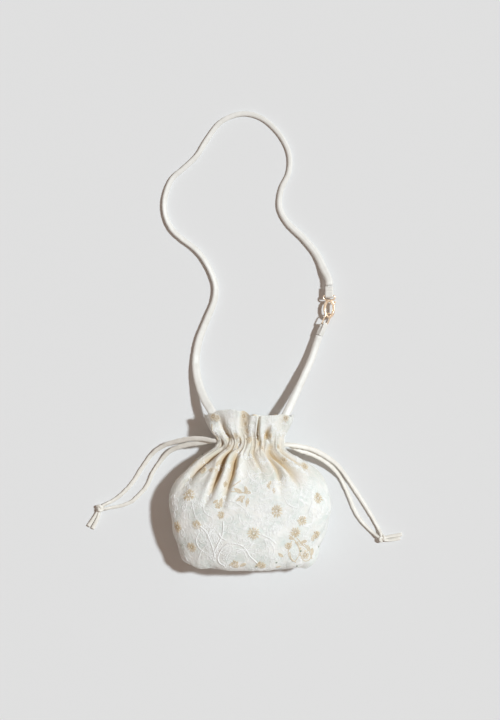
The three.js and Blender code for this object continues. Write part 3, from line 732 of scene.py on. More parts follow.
def settled(point, turn, along):
    """The same points as the bag lies: its frill's edge, base corners, right side and swellings."""
    across, face = np.cos(turn), np.sin(turn)
    point[..., 1] += rim_rise(turn, across, face) * ease((along - 70 * MM) / (28 * MM))
    near_base = ease((BASE_AT + 30 * MM - along) / (30 * MM))
    point[..., 1] -= MM * near_base * (6 * ease((across - 0.45) / 0.5) + 5 * ease((-across - 0.55) / 0.35))
    places, outs = zip(*RIGHT_SIDE)
    point[..., 0] += MM * np.interp(along / MM, places, outs) * ease((across - 0.3) / 0.7)
    for at, place, wide, long, height in LIFTS:
        swell = np.exp(-(((across - at) / wide) ** 2) - ((along / MM - place) / long) ** 2)
        point[..., 2] += height * MM * swell * ease(face / 0.2)
    return point


def cloth_point(turn, along, under=0.0):
    """A point of the finished cloth, or that far under its face."""
    push, _ = cloth_push(turn, along)
    point = form_point(turn, along) + form_outward(turn, along) * (push - under)[..., None]
    point = settled(point, turn, along)
    point[..., 2] = (point[..., 2] + np.sqrt(point[..., 2] ** 2 + REST_SOFTNESS**2)) / 2
    return point


def cloth_rows():
    """Places along the cloth and how far under its face: hem, base edge, body, rim edge and hem."""
    roll, hem = 0.8 * MM, 6 * MM
    bends = np.linspace(0, math.pi, 6)[1:]
    rows = [(BASE_AT + hem, 2 * roll), (BASE_AT + hem / 2, 2 * roll)]
    rows += [(BASE_AT - roll * math.sin(a), roll * (1 - math.cos(a))) for a in bends[::-1]]
    rows += [(along, 0.0) for along in np.linspace(BASE_AT, RIM_AT, 200)]
    rows += [(RIM_AT + roll * math.sin(a), roll * (1 - math.cos(a))) for a in bends]
    rows += [(RIM_AT - hem / 2, 2 * roll), (RIM_AT - hem, 2 * roll)]
    return np.array(rows)


AROUND = 440
turns = full_turn(AROUND)
turns = turns + 0.15 * np.sin(2 * turns)
turn_grid, along_grid = np.meshgrid(turns, cloth_rows()[:, 0])
under_grid = np.broadcast_to(cloth_rows()[:, 1:], turn_grid.shape)
cloth_grid = cloth_point(turn_grid, along_grid, under_grid)
print("cloth points", turn_grid.size)

# %% [markdown]
# The face of the pouch is ivory satin seen through a sheer layer. Its colour drifts between cream
# and a cool grey-green. In the valleys and the gathers it turns a darker gold: painted shade in the
# folds, partly also the tint of many sheer layers lying together there.

# %% The embroidered satin's finish
def pouch_material():
    material, tree, shader = start_material(
        "embroidered_satin",
        {"Roughness": 0.6, "Sheen Weight": 0.4, "Sheen Roughness": 0.35, "Specular IOR Level": 0.22},
    )
    place = add_node(tree, "ShaderNodeUVMap", uv_map="cloth").outputs["UV"]
    # This attribute carries the painted valley shade, partly the tint of the bunched sheer layer.
    valley = add_node(tree, "ShaderNodeAttribute", attribute_name="valley").outputs["Fac"]
    wide = place_group(tree, MOTTLE, Place=place, Size=0.022)
    fine = place_group(tree, MOTTLE, Place=place, Size=0.006)
    tendrils = place_group(tree, TRACERY, Place=place, Size=0.014, Line=0.016)
    leaves = place_group(tree, TRACERY, Place=place, Size=0.0045, Line=0.04)
    patches = place_group(tree, MOTTLE, Place=place, Size=0.05)
    sparse = math_of(tree, "POWER", patches, 2.0)
    within = math_of(tree, "MULTIPLY", leaves, sparse)
    worked = math_of(tree, "MAXIMUM", tendrils, within)
    ground = colour_mix(tree, wide, (0.955, 0.95, 0.915), (0.745, 0.81, 0.77))
    warmed = math_of(tree, "MULTIPLY", fine, 0.4)
    ground = colour_mix(tree, warmed, ground, (0.92, 0.885, 0.82))
    ground = colour_mix(tree, worked, ground, (0.975, 0.975, 0.96))
    # Painted shade: a darker gold laid into the valleys and gathers, partly the tint of the bunched sheer
    # layer.
    ground = colour_mix(tree, valley, ground, (0.66, 0.51, 0.31))
    tree.links.new(ground, shader.inputs["Base Color"])
    weave = place_group(tree, SATIN_WEAVE, Place=place, Thread=0.0005)
    puckers = place_group(tree, MOTTLE, Place=place, Size=0.0045)
    bumped(tree, shader, [(weave, 0.00008), (puckers, 0.0003), (worked, 0.00022)])
    return material


POUCH_SATIN = pouch_material()


def keep_attribute(piece, name, values):
    layer = piece.data.attributes.new(name, "FLOAT", "POINT")
    layer.data.foreach_set("value", np.asarray(values, dtype=np.float32).ravel())


CLOTH_ROUND = 0.52


def cloth_uvs(turn, along):
    """The cloth's own map in metres: once round its full width from a side seam, and along it."""
    return np.stack([turn / (2 * math.pi) * CLOTH_ROUND, along - BASE_AT], axis=-1).reshape(-1, 2)


cloth_faces = grid_faces(*turn_grid.shape)[:, ::-1]
pouch_cloth = make_piece(
    "pouch_satin",
    cloth_grid.reshape(-1, 3),
    cloth_faces,
    POUCH_SATIN,
    cloth_uvs(turn_grid, along_grid),
    CLOTH_ROUND,
)
# Painted shade for the valleys and the gathers under the channel, partly the tint of the bunched sheer layer,
# kept as an attribute for the finish.
gathered_shade_and_tint = 0.4 * ease((along_grid + 5 * MM) / (50 * MM))
gathered_shade_and_tint *= 1 - 0.75 * ease((along_grid - 66 * MM) / (16 * MM))
gathered_shade_and_tint *= 0.6 + 0.4 * cloth_noise(turn_grid, along_grid, 26, 17 * MM, 41)
deepest_shade_and_tint = np.clip(cloth_push(turn_grid, along_grid)[1] / 8, 0, 0.9) ** 1.2
keep_attribute(pouch_cloth, "valley", np.clip(deepest_shade_and_tint + gathered_shade_and_tint, 0, 0.95))
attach(pouch_cloth, "bag")
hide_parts("pouch")
print("pouch triangles", 2 * len(pouch_cloth.data.polygons))

# %% [markdown]
# ## Lining and base
# Inside is a plain lining, a smoother copy of the form, sewn to the cloth under the rolled edge. The
# flat base is a separate oval of the same satin set into the lower edge. It domes a little and is
# pulled into small puckers by its seam, so it is made as rings that close on a middle point.

# %% The lining
LINING_AROUND = 220


def lining_point(turn, along):
    """The inner face: the folds without their finest part, and padded in at the channel."""
    push, _ = cloth_push(turn, along)
    channel = 1 - ease((np.abs(along - CHANNEL_AT) - 6.5 * MM) / (7 * MM))
    point = form_point(turn, along, 9.5 * MM * channel)
    under = 2.3 * MM - 0.6 * MM * ease((along - RIM_AT + 7 * MM) / (4 * MM))
    point += form_outward(turn, along) * (push * (1 - 0.8 * channel) - under)[..., None]
    point = settled(point, turn, along)
    point[..., 2] = np.maximum(point[..., 2], 1.6 * MM)
    return point


LINING_ROWS = 90
lining_turns, lining_along = np.meshgrid(
    full_turn(LINING_AROUND), np.linspace(BASE_AT + 4 * MM, RIM_AT - 3 * MM, LINING_ROWS)
)
lining_grid = lining_point(lining_turns, lining_along)
lining = make_piece(
    "lining_satin",
    lining_grid.reshape(-1, 3),
    grid_faces(*lining_turns.shape),
    CORD_SATIN,
    cloth_uvs(lining_turns, lining_along),
    CLOTH_ROUND,
)
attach(lining, "bag")
print("lining triangles", 2 * len(lining.data.polygons))

# %% The base panel
BASE_RINGS = 26
BASE_HALF = 78 * MM
SMOOTH_REACH = 20  # how many points to each side the smooth ring is a mean of
base_turns, base_shares = np.meshgrid(full_turn(LINING_AROUND), np.linspace(1, 0.04, BASE_RINGS))
base_rim = cloth_point(base_turns, base_turns * 0 + BASE_AT + 1.5 * MM, base_turns * 0 + 1.9 * MM)
near = np.exp(-np.linspace(-1.6, 1.6, 2 * SMOOTH_REACH + 1) ** 2)
rim_on = np.vstack([base_rim[0][-SMOOTH_REACH:], base_rim[0], base_rim[0][:SMOOTH_REACH]])
smooth_ring = np.stack([np.convolve(rim_on[:, i], near / near.sum(), "valid") for i in range(3)], axis=-1)
at_seam = ease((base_shares - 0.8) / 0.2)[..., None]
base_rim = base_rim * at_seam + smooth_ring * (1 - at_seam)
base_middle = smooth_ring.mean(axis=0)
base_grid = base_middle + (base_rim - base_middle) * base_shares[..., None]
dome = 3.4 * MM * (1 - base_shares**2) - 1.5 * MM * ease((base_shares - 0.9) / 0.1)
pucker = 0.9 * MM * np.exp(-((1 - base_shares) / 0.09))
pucker = pucker * cloth_noise(base_turns, base_turns * 0 + BASE_AT, 64, 1, 31)
bow = section_at(np.full(1, BASE_AT))[4]
bow = bow * ((base_grid[..., 0] / BASE_HALF) ** 2 - base_shares * (base_rim[..., 0] / BASE_HALF) ** 2)
base_grid[..., 1] += bow - dome + pucker
base_points = np.vstack([base_grid.reshape(-1, 3), base_grid[-1].mean(axis=0)])
base_faces = [tuple(f[::-1]) for f in grid_faces(BASE_RINGS, LINING_AROUND)]
last_ring = (BASE_RINGS - 1) * LINING_AROUND
centre = len(base_points) - 1
base_faces += [(last_ring + (i + 1) % LINING_AROUND, last_ring + i, centre) for i in range(LINING_AROUND)]
base_panel = make_piece("base_satin", base_points, base_faces, POUCH_SATIN, base_points[:, [0, 2]])
# The base gets no painted valley shade.
keep_attribute(base_panel, "valley", np.zeros(len(base_points)))
solid_base = base_panel.modifiers.new("thickness", "SOLIDIFY")
solid_base.thickness = 1.5 * MM
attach(base_panel, "bag")
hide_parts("base_panel")
print("base triangles", 4 * len(base_faces))

# %% [markdown]
# ## Embroidery
# The sheer layer is worked all over in thread: daisies with a pearl in the middle, trailing stems,
# leaves, and a few sequins. A texture would lie flat, so every stitch is a small rounded body half
# sunk in the cloth. Python only decides where each one goes, as a point that knows which way it
# faces and how big it is. One tree of Geometry Nodes then puts the stitch on every point, which
# keeps thousands of them light to write and quick to change.

# %% The tree that sews
def stitch_tree():
    """Puts a small rounded stitch on every point, turned and sized by the point's own values."""
    tree = bpy.data.node_groups.new("sewn_stitches", "GeometryNodeTree")
    tree.interface.new_socket("Geometry", in_out="INPUT", socket_type="NodeSocketGeometry")
    tree.interface.new_socket("Sides", in_out="INPUT", socket_type="NodeSocketInt").default_value = 6
    tree.interface.new_socket("Rings", in_out="INPUT", socket_type="NodeSocketInt").default_value = 3
    tree.interface.new_socket("Thread Finish", in_out="INPUT", socket_type="NodeSocketMaterial")
    tree.interface.new_socket("Geometry", in_out="OUTPUT", socket_type="NodeSocketGeometry")
    given, result = tree.nodes.new("NodeGroupInput"), tree.nodes.new("NodeGroupOutput")
    stitch = add_node(
        tree,
        "GeometryNodeMeshUVSphere",
        {"Segments": given.outputs["Sides"], "Rings": given.outputs["Rings"], "Radius": 1.0},
    )
    facing = add_node(tree, "GeometryNodeInputNamedAttribute", {"Name": "facing"}, data_type="FLOAT_VECTOR")
    size = add_node(tree, "GeometryNodeInputNamedAttribute", {"Name": "size"}, data_type="FLOAT_VECTOR")
    turned = add_node(tree, "FunctionNodeEulerToRotation", {0: facing.outputs["Attribute"]})
    laid = add_node(
        tree,
        "GeometryNodeInstanceOnPoints",
        {
            "Points": given.outputs["Geometry"],
            "Instance": stitch.outputs["Mesh"],
            "Rotation": turned.outputs[0],
            "Scale": size.outputs["Attribute"],
        },
    )
    real = add_node(tree, "GeometryNodeRealizeInstances", {"Geometry": laid.outputs["Instances"]})
    smooth = add_node(tree, "GeometryNodeSetShadeSmooth", {"Geometry": real.outputs["Geometry"]})
    done = add_node(
        tree,
        "GeometryNodeSetMaterial",
        {"Geometry": smooth.outputs["Geometry"], "Material": given.outputs["Thread Finish"]},
    )
    tree.links.new(done.outputs["Geometry"], result.inputs["Geometry"])
    return tree


STITCHES = stitch_tree()


def sewn_piece(name, rows, sides, rings, finish):
    """One mesh of all stitches. A row is place, outward, way, half length, half width, height, tint."""
    points = bpy.data.meshes.new(name)
    points.from_pydata([row[0] for row in rows], [], [])
    turns_of, sizes = [], []
    for _, outward, way, half_long, half_wide, height, _ in rows:
        side = outward.cross(way).normalized()
        flat = way.cross(side).normalized()
        turns_of.append(Matrix((side, flat, way.normalized())).transposed().to_euler())
        sizes.append((half_wide, height, half_long))
    for key, values in (("facing", turns_of), ("size", sizes)):
        layer = points.attributes.new(key, "FLOAT_VECTOR", "POINT")
        layer.data.foreach_set("vector", np.array(values, dtype=np.float32).ravel())
    holder = show(name + "_points", points)
    keep_attribute(holder, "tint", [row[6] for row in rows])
    sewing = holder.modifiers.new("sewing", "NODES")
    sewing.node_group = STITCHES
    sockets = {s.name: s.identifier for s in STITCHES.interface.items_tree if s.in_out == "INPUT"}
    sewing[sockets["Sides"]] = sides
    sewing[sockets["Rings"]] = rings
    sewing[sockets["Thread Finish"]] = finish
    made = bpy.data.meshes.new_from_object(holder.evaluated_get(bpy.context.evaluated_depsgraph_get()))
    bpy.data.objects.remove(holder)
    made.name = name
    piece = show(name, made)
    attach(piece, "bag")
    print(name, len(rows), "bodies,", sum(len(f.vertices) - 2 for f in made.polygons), "triangles")
    return piece


# %% [markdown]
# A motif is drawn flat, in millimetres, round a place on the cloth. Every point of the drawing is
# then moved to the nearest cloth, so petals bend into a fold as sewn ones do. On the front, places
# are read from the photograph: a ray from the camera through a pixel finds the cloth behind it.

# %% Places on the cloth
CLOTH = BVHTree.FromPolygons([tuple(p) for p in cloth_grid.reshape(-1, 3)], [tuple(f) for f in cloth_faces])
PHOTO_WIDTH, PHOTO_HEIGHT = 500, 720
PIXEL = VIEW_HEIGHT / PHOTO_HEIGHT
# How far a thread's colour goes from white to tan at 1, and on to golden brown at 2
WHITE, BEIGE, TAN, KNOT_TINT = 0.0, 0.75, 1.0, 1.8
white_threads, tan_threads, pearls, sequins = [], [], [], []


def seen_at(column, row):
    """The cloth that the photograph shows at a column and row of its pixels."""
    x, y = (column - PHOTO_WIDTH / 2) * PIXEL, (PHOTO_HEIGHT / 2 - row) * PIXEL
    ray = Vector((x, y, -camera.location.z)).normalized()
    place, outward, _, _ = CLOTH.ray_cast(camera.location, ray)
    return place, outward


def patch_at(place, outward, turned=0.0):
    """A place, its outward direction and a heading: the way to the frill, turned clockwise."""
    heading = (Vector((0, 1, 0)) - outward * outward.y).normalized()
    heading.rotate(Quaternion(outward, -turned))
    return place, outward, heading


def on_patch(patch, x, y):
    """The cloth at a drawing's point in millimetres: x to the side and y along the heading."""
    place, outward, heading = patch
    side = outward.cross(heading)
    return CLOTH.find_nearest(place + (side * x + heading * y) * MM)[:2]


def stitch_between(start, end, width, tint, height=0.5):
    """One stitch between two places on the cloth, but none that would span a fold."""
    (a, out_a), (b, out_b) = start, end
    kind = tan_threads if tint else white_threads
    middle, way = (a + b) / 2, b - a
    if way.length > 0.2 * MM and CLOTH.find_nearest(middle)[3] < 0.8 * MM:
        outward = (out_a + out_b).normalized()
        kind.append((middle, outward, way, way.length * 0.56, width / 2 * MM, height * MM, tint))


def bead_at(kind, spot, radius, flat=1.0):
    """A bead on the cloth, but none where the bag would lie on it."""
    place, outward = spot
    way = outward.orthogonal()
    raised = place + outward * 0.6 * flat * radius * MM
    if raised.z > radius * MM:
        kind.append((raised, outward, way, radius * MM, radius * MM, radius * flat * MM, 0.0))


def round_patch(patch, reach, angle):
    """The cloth that far from the patch's middle, at an angle from its heading."""
    return on_patch(patch, reach * math.sin(angle), reach * math.cos(angle))


def daisy(patch, radius, tint, petals=13):
    """Thin petals of three straight stitches each, then a ring of knots round a pearl."""
    for n in range(petals):
        angle = 2 * math.pi * (n + chance.uniform(-0.15, 0.15)) / petals
        reach = radius * chance.uniform(0.82, 1.1)
        for spread, start, end in ((-0.16, 0.3, 0.84), (0, 0.24, 1.0), (0.16, 0.3, 0.84)):
            inner = round_patch(patch, start * radius, angle + spread * 4 / petals)
            outer = round_patch(patch, end * reach, angle + spread * 11 / petals)
            stitch_between(inner, outer, 0.3 + 0.05 * radius, tint * chance.uniform(0.62, 1.0), 0.55)
    size = 0.065 * radius * MM
    for count, share in ((11, 0.31), (7, 0.19)):
        for n in range(count):
            place, outward = round_patch(patch, share * radius, 2 * math.pi * n / count)
            tone = KNOT_TINT * chance.uniform(0.75, 1.1)
            tan_threads.append((place, outward, outward.orthogonal(), size, size, 1.3 * size, tone))
    bead_at(pearls, on_patch(patch, 0, 0), 0.1 * radius, 0.7)


def chain(spots, width, tint, step=2.0):
    """Stem stitches along a smooth line through places on the cloth."""
    if len(spots) > 2:
        line, _ = smooth_line([spot[0] for spot in spots], step * MM)
    else:
        count = max(2, round((spots[1][0] - spots[0][0]).length / (step * MM)) + 1)
        line = np.linspace(spots[0][0], spots[1][0], count)
    laid = [CLOTH.find_nearest(Vector(point))[:2] for point in line]
    for start, end in zip(laid, laid[1:]):
        stitch_between(start, end, width, tint, 0.45 * width)


def leaf(patch, length, width, tint, filled=True):
    """A leaf along the heading: an outline and a rib, and slanting stitches where it is filled."""
    def edge(share, side):
        return on_patch(patch, side * width / 2 * math.sin(math.pi * share**0.8), length * share)

    shares = np.linspace(0, 1, max(5, round(length / 1.6)))
    for side in (-1, 1):
        edges = [edge(share, side) for share in shares]
        for start, end in zip(edges, edges[1:]):
            stitch_between(start, end, 1.1, tint, 0.7)
        if filled:
            for share in np.linspace(0.08, 0.82, round(length / 0.9)):
                rib = on_patch(patch, 0, length * share)
                stitch_between(rib, edge(min(1, share + 0.12), side), 1.0, tint)
    if not filled:
        stitch_between(on_patch(patch, 0, 0.1 * length), on_patch(patch, 0, 0.7 * length), 0.9, tint)


def sprig(patch, length, leaves, tint, leaf_long, leaf_wide, filled=True, bend=0.2):
    """A bent stem with leaves to both sides and one at the tip."""
    def stem(share):
        return bend * length * share * share, length * share

    chain([on_patch(patch, *stem(share)) for share in (0, 0.3, 0.65, 1)], 0.9, tint)
    for n in range(leaves):
        share = (n + 1) / leaves
        side = 0 if n == leaves - 1 else (1 if n % 2 else -1)
        place, outward = on_patch(patch, *stem(share))
        heading = patch[2].copy()
        heading.rotate(Quaternion(outward, 0.9 * side + 2 * bend * share))
        leaf((place, outward, heading), leaf_long, leaf_wide, tint, filled)


print("cloth ready to sew on")

# %% [markdown]
# The front is drawn from the photograph: a place for every daisy, stem and leaf that shows.

# %% The front's motifs
# Rows of column, row and radius in millimetres
FRONT_DAISIES = [
    (188.5, 495, 7.6), (276.5, 511, 7.4), (253.5, 533.5, 8), (196.5, 525, 6), (177.5, 527, 6.5),
    (191.5, 547, 6.2), (221, 515, 4.6), (302, 520.5, 6.4), (318, 498, 6.6), (295.5, 532.5, 6.4),
    (316.5, 535, 5.6), (235, 564.5, 5.6), (261, 565.5, 5.8), (288.5, 546, 4.6), (305, 555, 6),
    (304.5, 466, 5), (203, 470, 5), (225.5, 484, 3.6), (218, 505.5, 4), (249, 440, 4),
    (283.5, 460, 4.4),
]
FRILL_DAISIES = [
    (213, 416.5, 7), (217, 418, 5.5), (243.5, 416, 7), (245, 424, 5.5), (247, 431, 6), (236, 436, 5.5),
    (240, 439, 4.5), (285.5, 418, 6.5), (270, 436, 5.5), (228, 446, 5), (262, 448, 4.5), (278, 447, 5),
]
DAISY_ROOM = 9
FRILL_SPRIGS = [
    (222, 427), (230, 419), (232, 432), (255, 424), (262, 432), (269, 421), (276, 431), (281, 424),
    (286, 433), (212, 430), (219, 437), (253, 438),
]
# The thick white branches near the base: the columns and rows that each goes through
BRANCH_WIDTH, STEM_WIDTH = 2.5, 1.7
FRONT_BRANCHES = [
    ((200, 526), (206.5, 533), (210, 540.5), (213, 549), (214.5, 556)),
    ((208, 535), (211, 530), (214.5, 527.5)),
    ((223, 521), (223.3, 529), (222, 535.5), (219.5, 541), (214.5, 552)),
    ((218.5, 533.5), (221.5, 538), (226, 540.5)),
    ((217.5, 558), (220, 552), (224.5, 546), (229, 543.5), (239.5, 545),
     (244, 547.5), (250.5, 557), (257.5, 563.5)),
    ((243, 547), (248, 544.5), (252, 544)), ((217.5, 558), (219.5, 563), (225, 566)),
    ((262, 535), (270, 538.5), (276, 544)),
]
# By tint: the columns and rows that each stem goes through
FRONT_STEMS = {
    WHITE: [
        ((207, 545), (202, 550), (199, 557)), ((192, 503), (194, 512), (196, 519)),
        ((283, 559), (288, 552), (293, 545)),
        ((235, 556), (240, 551), (246, 550), (249, 556), (247, 562)),
        ((199, 533), (196, 540), (199, 548), (204, 552)),
        ((226, 560), (229, 552), (236, 549), (243, 551), (247, 559)),
        ((266, 541), (272, 545), (274, 552), (270, 559)), ((254, 541), (250, 547), (246, 551)),
        ((228, 500), (236, 503), (245, 510), (250, 518)),
        ((205, 500), (203, 507), (206, 514), (212, 517)),
        ((284, 497), (288, 504), (296, 508), (303, 506)),
        ((306, 486), (311, 492), (312, 502), (309, 511)),
        ((247, 470), (250, 478), (257, 482), (265, 480)),
    ],
    BEIGE: [
        ((297, 538), (303, 545), (309, 550.5), (312, 559)),
        ((289, 535), (295.5, 541), (299.5, 548), (300, 556)),
        ((289.5, 552), (291.5, 559), (296, 562.5)), ((231, 491.5), (240, 492), (247, 493.5)),
        ((231, 487.5), (236, 484), (241, 480.5)), ((212, 424), (213, 432), (218, 440)),
        ((292, 541), (288.5, 548), (289, 556), (294, 561.5), (298.5, 556), (299, 548), (295, 542)),
        ((300.5, 547), (301, 556), (304.5, 561), (309, 560), (311.5, 555), (310, 549), (304, 544)),
    ],
}
# By tint and whether it is filled: rows of column, row, degrees turned, and length and width in millimetres
FRONT_LEAVES = {
    (BEIGE, True): [
        (242, 493, -60, 12, 4.6), (245, 496, -120, 13, 4.6), (248, 498, -170, 11, 4),
        (240, 496, -200, 9, 4), (251, 493, -80, 9, 3.6), (247, 492, -20, 8, 3.6),
        (221, 498, 175, 12, 4), (213, 503, 60, 8, 3), (209, 470, 90, 12, 5), (216, 466, 40, 10, 4),
        (290, 458, -120, 12, 5), (297, 463, -60, 12, 5), (283, 557, -50, 9, 3.4), (239, 566, -75, 9, 4),
        (246, 563.5, -120, 9, 4), (255, 566.5, 70, 9, 4), (265, 565.5, -80, 9, 4),
        (276, 567, 100, 8, 3.6), (229, 565, 80, 8, 3.6), (271, 481, -150, 8, 3), (267, 484, 150, 8, 3),
        (274, 488, 180, 7, 3), (307, 541, -100, 9, 4), (312, 548, 170, 9, 4), (294, 535, 60, 8, 4),
        (289, 538, 100, 7, 3.4), (313, 541, -30, 8, 4),
    ],
    (WHITE, False): [
        (206, 534, -50, 15, 7), (210, 543, -20, 17, 8), (213, 550, 60, 13, 6), (223, 533, 30, 13, 6),
        (222, 545, -60, 12, 6), (240, 546, -10, 11, 5), (246, 551, -100, 12, 5), (230, 545, 170, 12, 6),
        (262, 535, -60, 12, 5), (270, 539, -150, 10, 5), (196, 519, 40, 9, 4), (292, 548, 160, 11, 6),
        (296, 556, 60, 9, 6), (218, 541, -40, 13, 6), (226, 553, 30, 12, 6), (235, 556, -120, 11, 5),
        (208, 556, 80, 11, 5), (199, 540, 110, 12, 5), (250, 518, -30, 12, 5), (236, 503, 40, 11, 5),
        (272, 545, -60, 12, 5), (288, 504, 30, 11, 5), (311, 492, 70, 11, 5), (309, 511, 150, 11, 5),
        (203, 507, 100, 11, 5), (283, 522, 200, 12, 5), (242, 522, 120, 12, 5), (183, 511, 20, 11, 5),
        (184, 537, -10, 11, 5), (306, 530, -160, 10, 5), (257, 482, -100, 10, 5),
    ],
    (BEIGE, False): [
        (303, 545, -60, 10, 4), (309, 551, -20, 9, 4), (300, 548, 120, 9, 4),
    ],
}
FRONT_SEQUINS = [(276.5, 562.5), (256.5, 566.5), (182.8, 545), (318.5, 546.5), (297, 566), (300.5, 551)]

for column, row, radius in FRONT_DAISIES:
    daisy(patch_at(*seen_at(column, row), chance.uniform(0, 0.6)), 1.25 * radius, TAN)
for column, row, radius in FRILL_DAISIES:
    daisy(patch_at(*seen_at(column, row), chance.uniform(0, 0.6)), radius, BEIGE)
for stops in FRONT_BRANCHES:
    chain([seen_at(*stop) for stop in stops], BRANCH_WIDTH, WHITE)
for tint, stems in FRONT_STEMS.items():
    for stops in stems:
        chain([seen_at(*stop) for stop in stops], STEM_WIDTH, tint)
for (tint, filled), leaves in FRONT_LEAVES.items():
    for column, row, degrees, length, width in leaves:
        leaf(patch_at(*seen_at(column, row), math.radians(degrees)), length, width, tint, filled)
for stop in FRONT_SEQUINS:
    bead_at(sequins, seen_at(*stop), 1.3, 0.35)
# Faint white sprigs between the daisies, one near each crossing of a loose net
for column in range(176, 326, 15):
    for row in range(460, 572, 15):
        at = np.array([column, row]) + chance.uniform(-4, 4, 2)
        place, outward = seen_at(*at)
        crowded = min(np.hypot(*(at - daisy_row[:2])) for daisy_row in FRONT_DAISIES) < DAISY_ROOM
        if place is not None and place.z > 8 * MM and not crowded:
            sprig(patch_at(place, outward, chance.uniform(0, 6.28)), 15, 4, WHITE, 8, 4, False, 0.3)
for stop in FRILL_SPRIGS:
    sprig(patch_at(*seen_at(*stop), chance.uniform(0, 6.28)), 11, 4, WHITE, 6, 3, False, 0.3)
print("front threads", len(white_threads), len(tan_threads))

# %% [markdown]
# The back and sides don't show in the photograph. They carry the same motifs, spread by a rule:
# rows up the cloth, each shifted against the last, with seeded small departures. Rows of plain
# stitches run round beside the base seam, on both sides of the channel and under the frill's edge.

# %% The motifs all round
SEAM_STITCHES = 220
BACK_ROWS = 7
BACK_COLUMNS = 9


def spot_at(turn, along):
    place = Vector(cloth_point(np.array([turn]), np.array([along]), np.zeros(1))[0])
    return CLOTH.find_nearest(place)[:2]


for row in range(BACK_ROWS):
    along = BASE_AT + (12 + 25 * row) * MM
    for column in range(BACK_COLUMNS):
        share = (column + 0.5 * (row % 2) + chance.uniform(-0.2, 0.2)) / BACK_COLUMNS
        turn = math.pi * 1.02 + math.pi * 0.96 * share
        patch = patch_at(*spot_at(turn, along + chance.uniform(-5, 5) * MM), chance.uniform(0, 6.28))
        if along > 40 * MM and along < 75 * MM:
            continue
        if (row + 2 * column) % 3 == 0:
            sprig(patch, 20, 5, WHITE, 9, 4.5, False)
        elif (row + column) % 4 == 1:
            sprig(patch, 14, 4, BEIGE, 8, 3.2, True)
            bead_at(sequins, on_patch(patch, 7, -3), 1.3, 0.35)
        else:
            daisy(patch, chance.uniform(6.8, 9.8), TAN)
for along in (*CASING_LINES, RIM_AT - 3.5 * MM, BASE_AT + 3 * MM):
    round_it = np.linspace(0, 2 * math.pi, SEAM_STITCHES + 1)
    seam = cloth_point(round_it, round_it * 0 + along)
    outwards = form_outward(round_it, round_it * 0 + along)
    for start, end, outward in zip(seam, seam[1:], outwards):
        start, way = Vector(start), Vector(end) - Vector(start)
        place, way = start + 0.5 * way, 0.36 * way
        white_threads.append((place, Vector(outward), way, way.length, 0.24 * MM, 0.26 * MM, WHITE))
print("threads", len(white_threads), len(tan_threads), "pearls", len(pearls), "sequins", len(sequins))

# %% Thread, pearl and sequin finishes, and the sewn pieces
def thread_material():
    material, tree, shader = start_material(
        "embroidery_thread", {"Roughness": 0.4, "Sheen Weight": 0.3, "Specular IOR Level": 0.5}
    )
    tint = add_node(tree, "ShaderNodeAttribute", attribute_name="tint").outputs["Fac"]
    place = add_node(tree, "ShaderNodeTexCoord").outputs["Object"]
    cloud = place_group(tree, MOTTLE, Place=place, Size=0.004)
    tan = colour_mix(tree, cloud, (0.6, 0.465, 0.27), (0.76, 0.63, 0.425))
    colour = colour_mix(tree, tint, (0.945, 0.945, 0.93), tan)
    beyond = add_node(tree, "ShaderNodeMapRange", {"Value": tint, "From Min": 1.0, "From Max": 2.0})
    colour = colour_mix(tree, beyond.outputs[0], colour, (0.5, 0.33, 0.1))
    tree.links.new(colour, shader.inputs["Base Color"])
    return material


def shiny_material(name, light, dark, metallic, roughness):
    material, tree, shader = start_material(
        name, {"Roughness": roughness, "Metallic": metallic, "Coat Weight": 0.2}
    )
    place = add_node(tree, "ShaderNodeTexCoord").outputs["Object"]
    cloud = place_group(tree, MOTTLE, Place=place, Size=0.003)
    tree.links.new(colour_mix(tree, cloud, light, dark), shader.inputs["Base Color"])
    return material


THREAD = thread_material()
PEARL = shiny_material("pearl", (0.98, 0.95, 0.91), (0.95, 0.88, 0.82), 0, 0.25)
SEQUIN = shiny_material("sequin", (0.5, 0.55, 0.47), (0.32, 0.36, 0.3), 0.7, 0.2)
white_work = sewn_piece("white_threads", white_threads, 6, 3, THREAD)
tan_work = sewn_piece("tan_threads", tan_threads, 6, 3, THREAD)
pearl_beads = sewn_piece("pearl_beads", pearls, 8, 5, PEARL)
sequin_discs = sewn_piece("sequins", sequins, 12, 5, SEQUIN)

# %% [markdown]
# ## Knots
# Each pair of strands ends in a tight overhand knot with two cut tails. A knot is a tube along a
# trefoil curve: three lobes that pass over and under each other, pulled small until they touch. The
# tails lie flat on the floor. Their cut ends are left square, as scissors leave them.

# %% Knots and tails
# Rows of side, the knot's middle, the way its axis points, and the routes of its two tails
KNOT_TABLE = [
    (
        "left", (-193.5, -24.6, 5), (-0.84, -0.4),
        [(-195, -27, 3.6), (-199, -34, 2.2), (-203.5, -41, 2.1), (-208.7, -48.2, 2.1)],
        [(-194, -28, 3.2), (-195.5, -35.5, 2.2), (-199, -43.5, 2.1), (-203.3, -51.3, 2.1)],
    ),
    (
        "right", (172.6, -63.8, 5), (0.6, -0.6),
        [(175, -63.4, 3.6), (182, -61.6, 2.2), (190, -60.4, 2.1), (199, -58.8, 2.1)],
        [(175, -66, 3.2), (182, -66.2, 2.2), (189.5, -65.2, 2.1), (196.5, -63.8, 2.1)],
    ),
]
TAIL_SHAPE = [(0, 2.5, 1.4, 60), (1, 2.5, 1.4, 8)]
LOBE = 1.32 * MM
KNOT_HALF_THICK = 1.75 * MM
KNOT_GIRTH = 2 * math.pi * KNOT_HALF_THICK
KNOT_SIDES = 14
KNOT_STEPS = 120
KNOT_TURN_LENGTH = 0.06


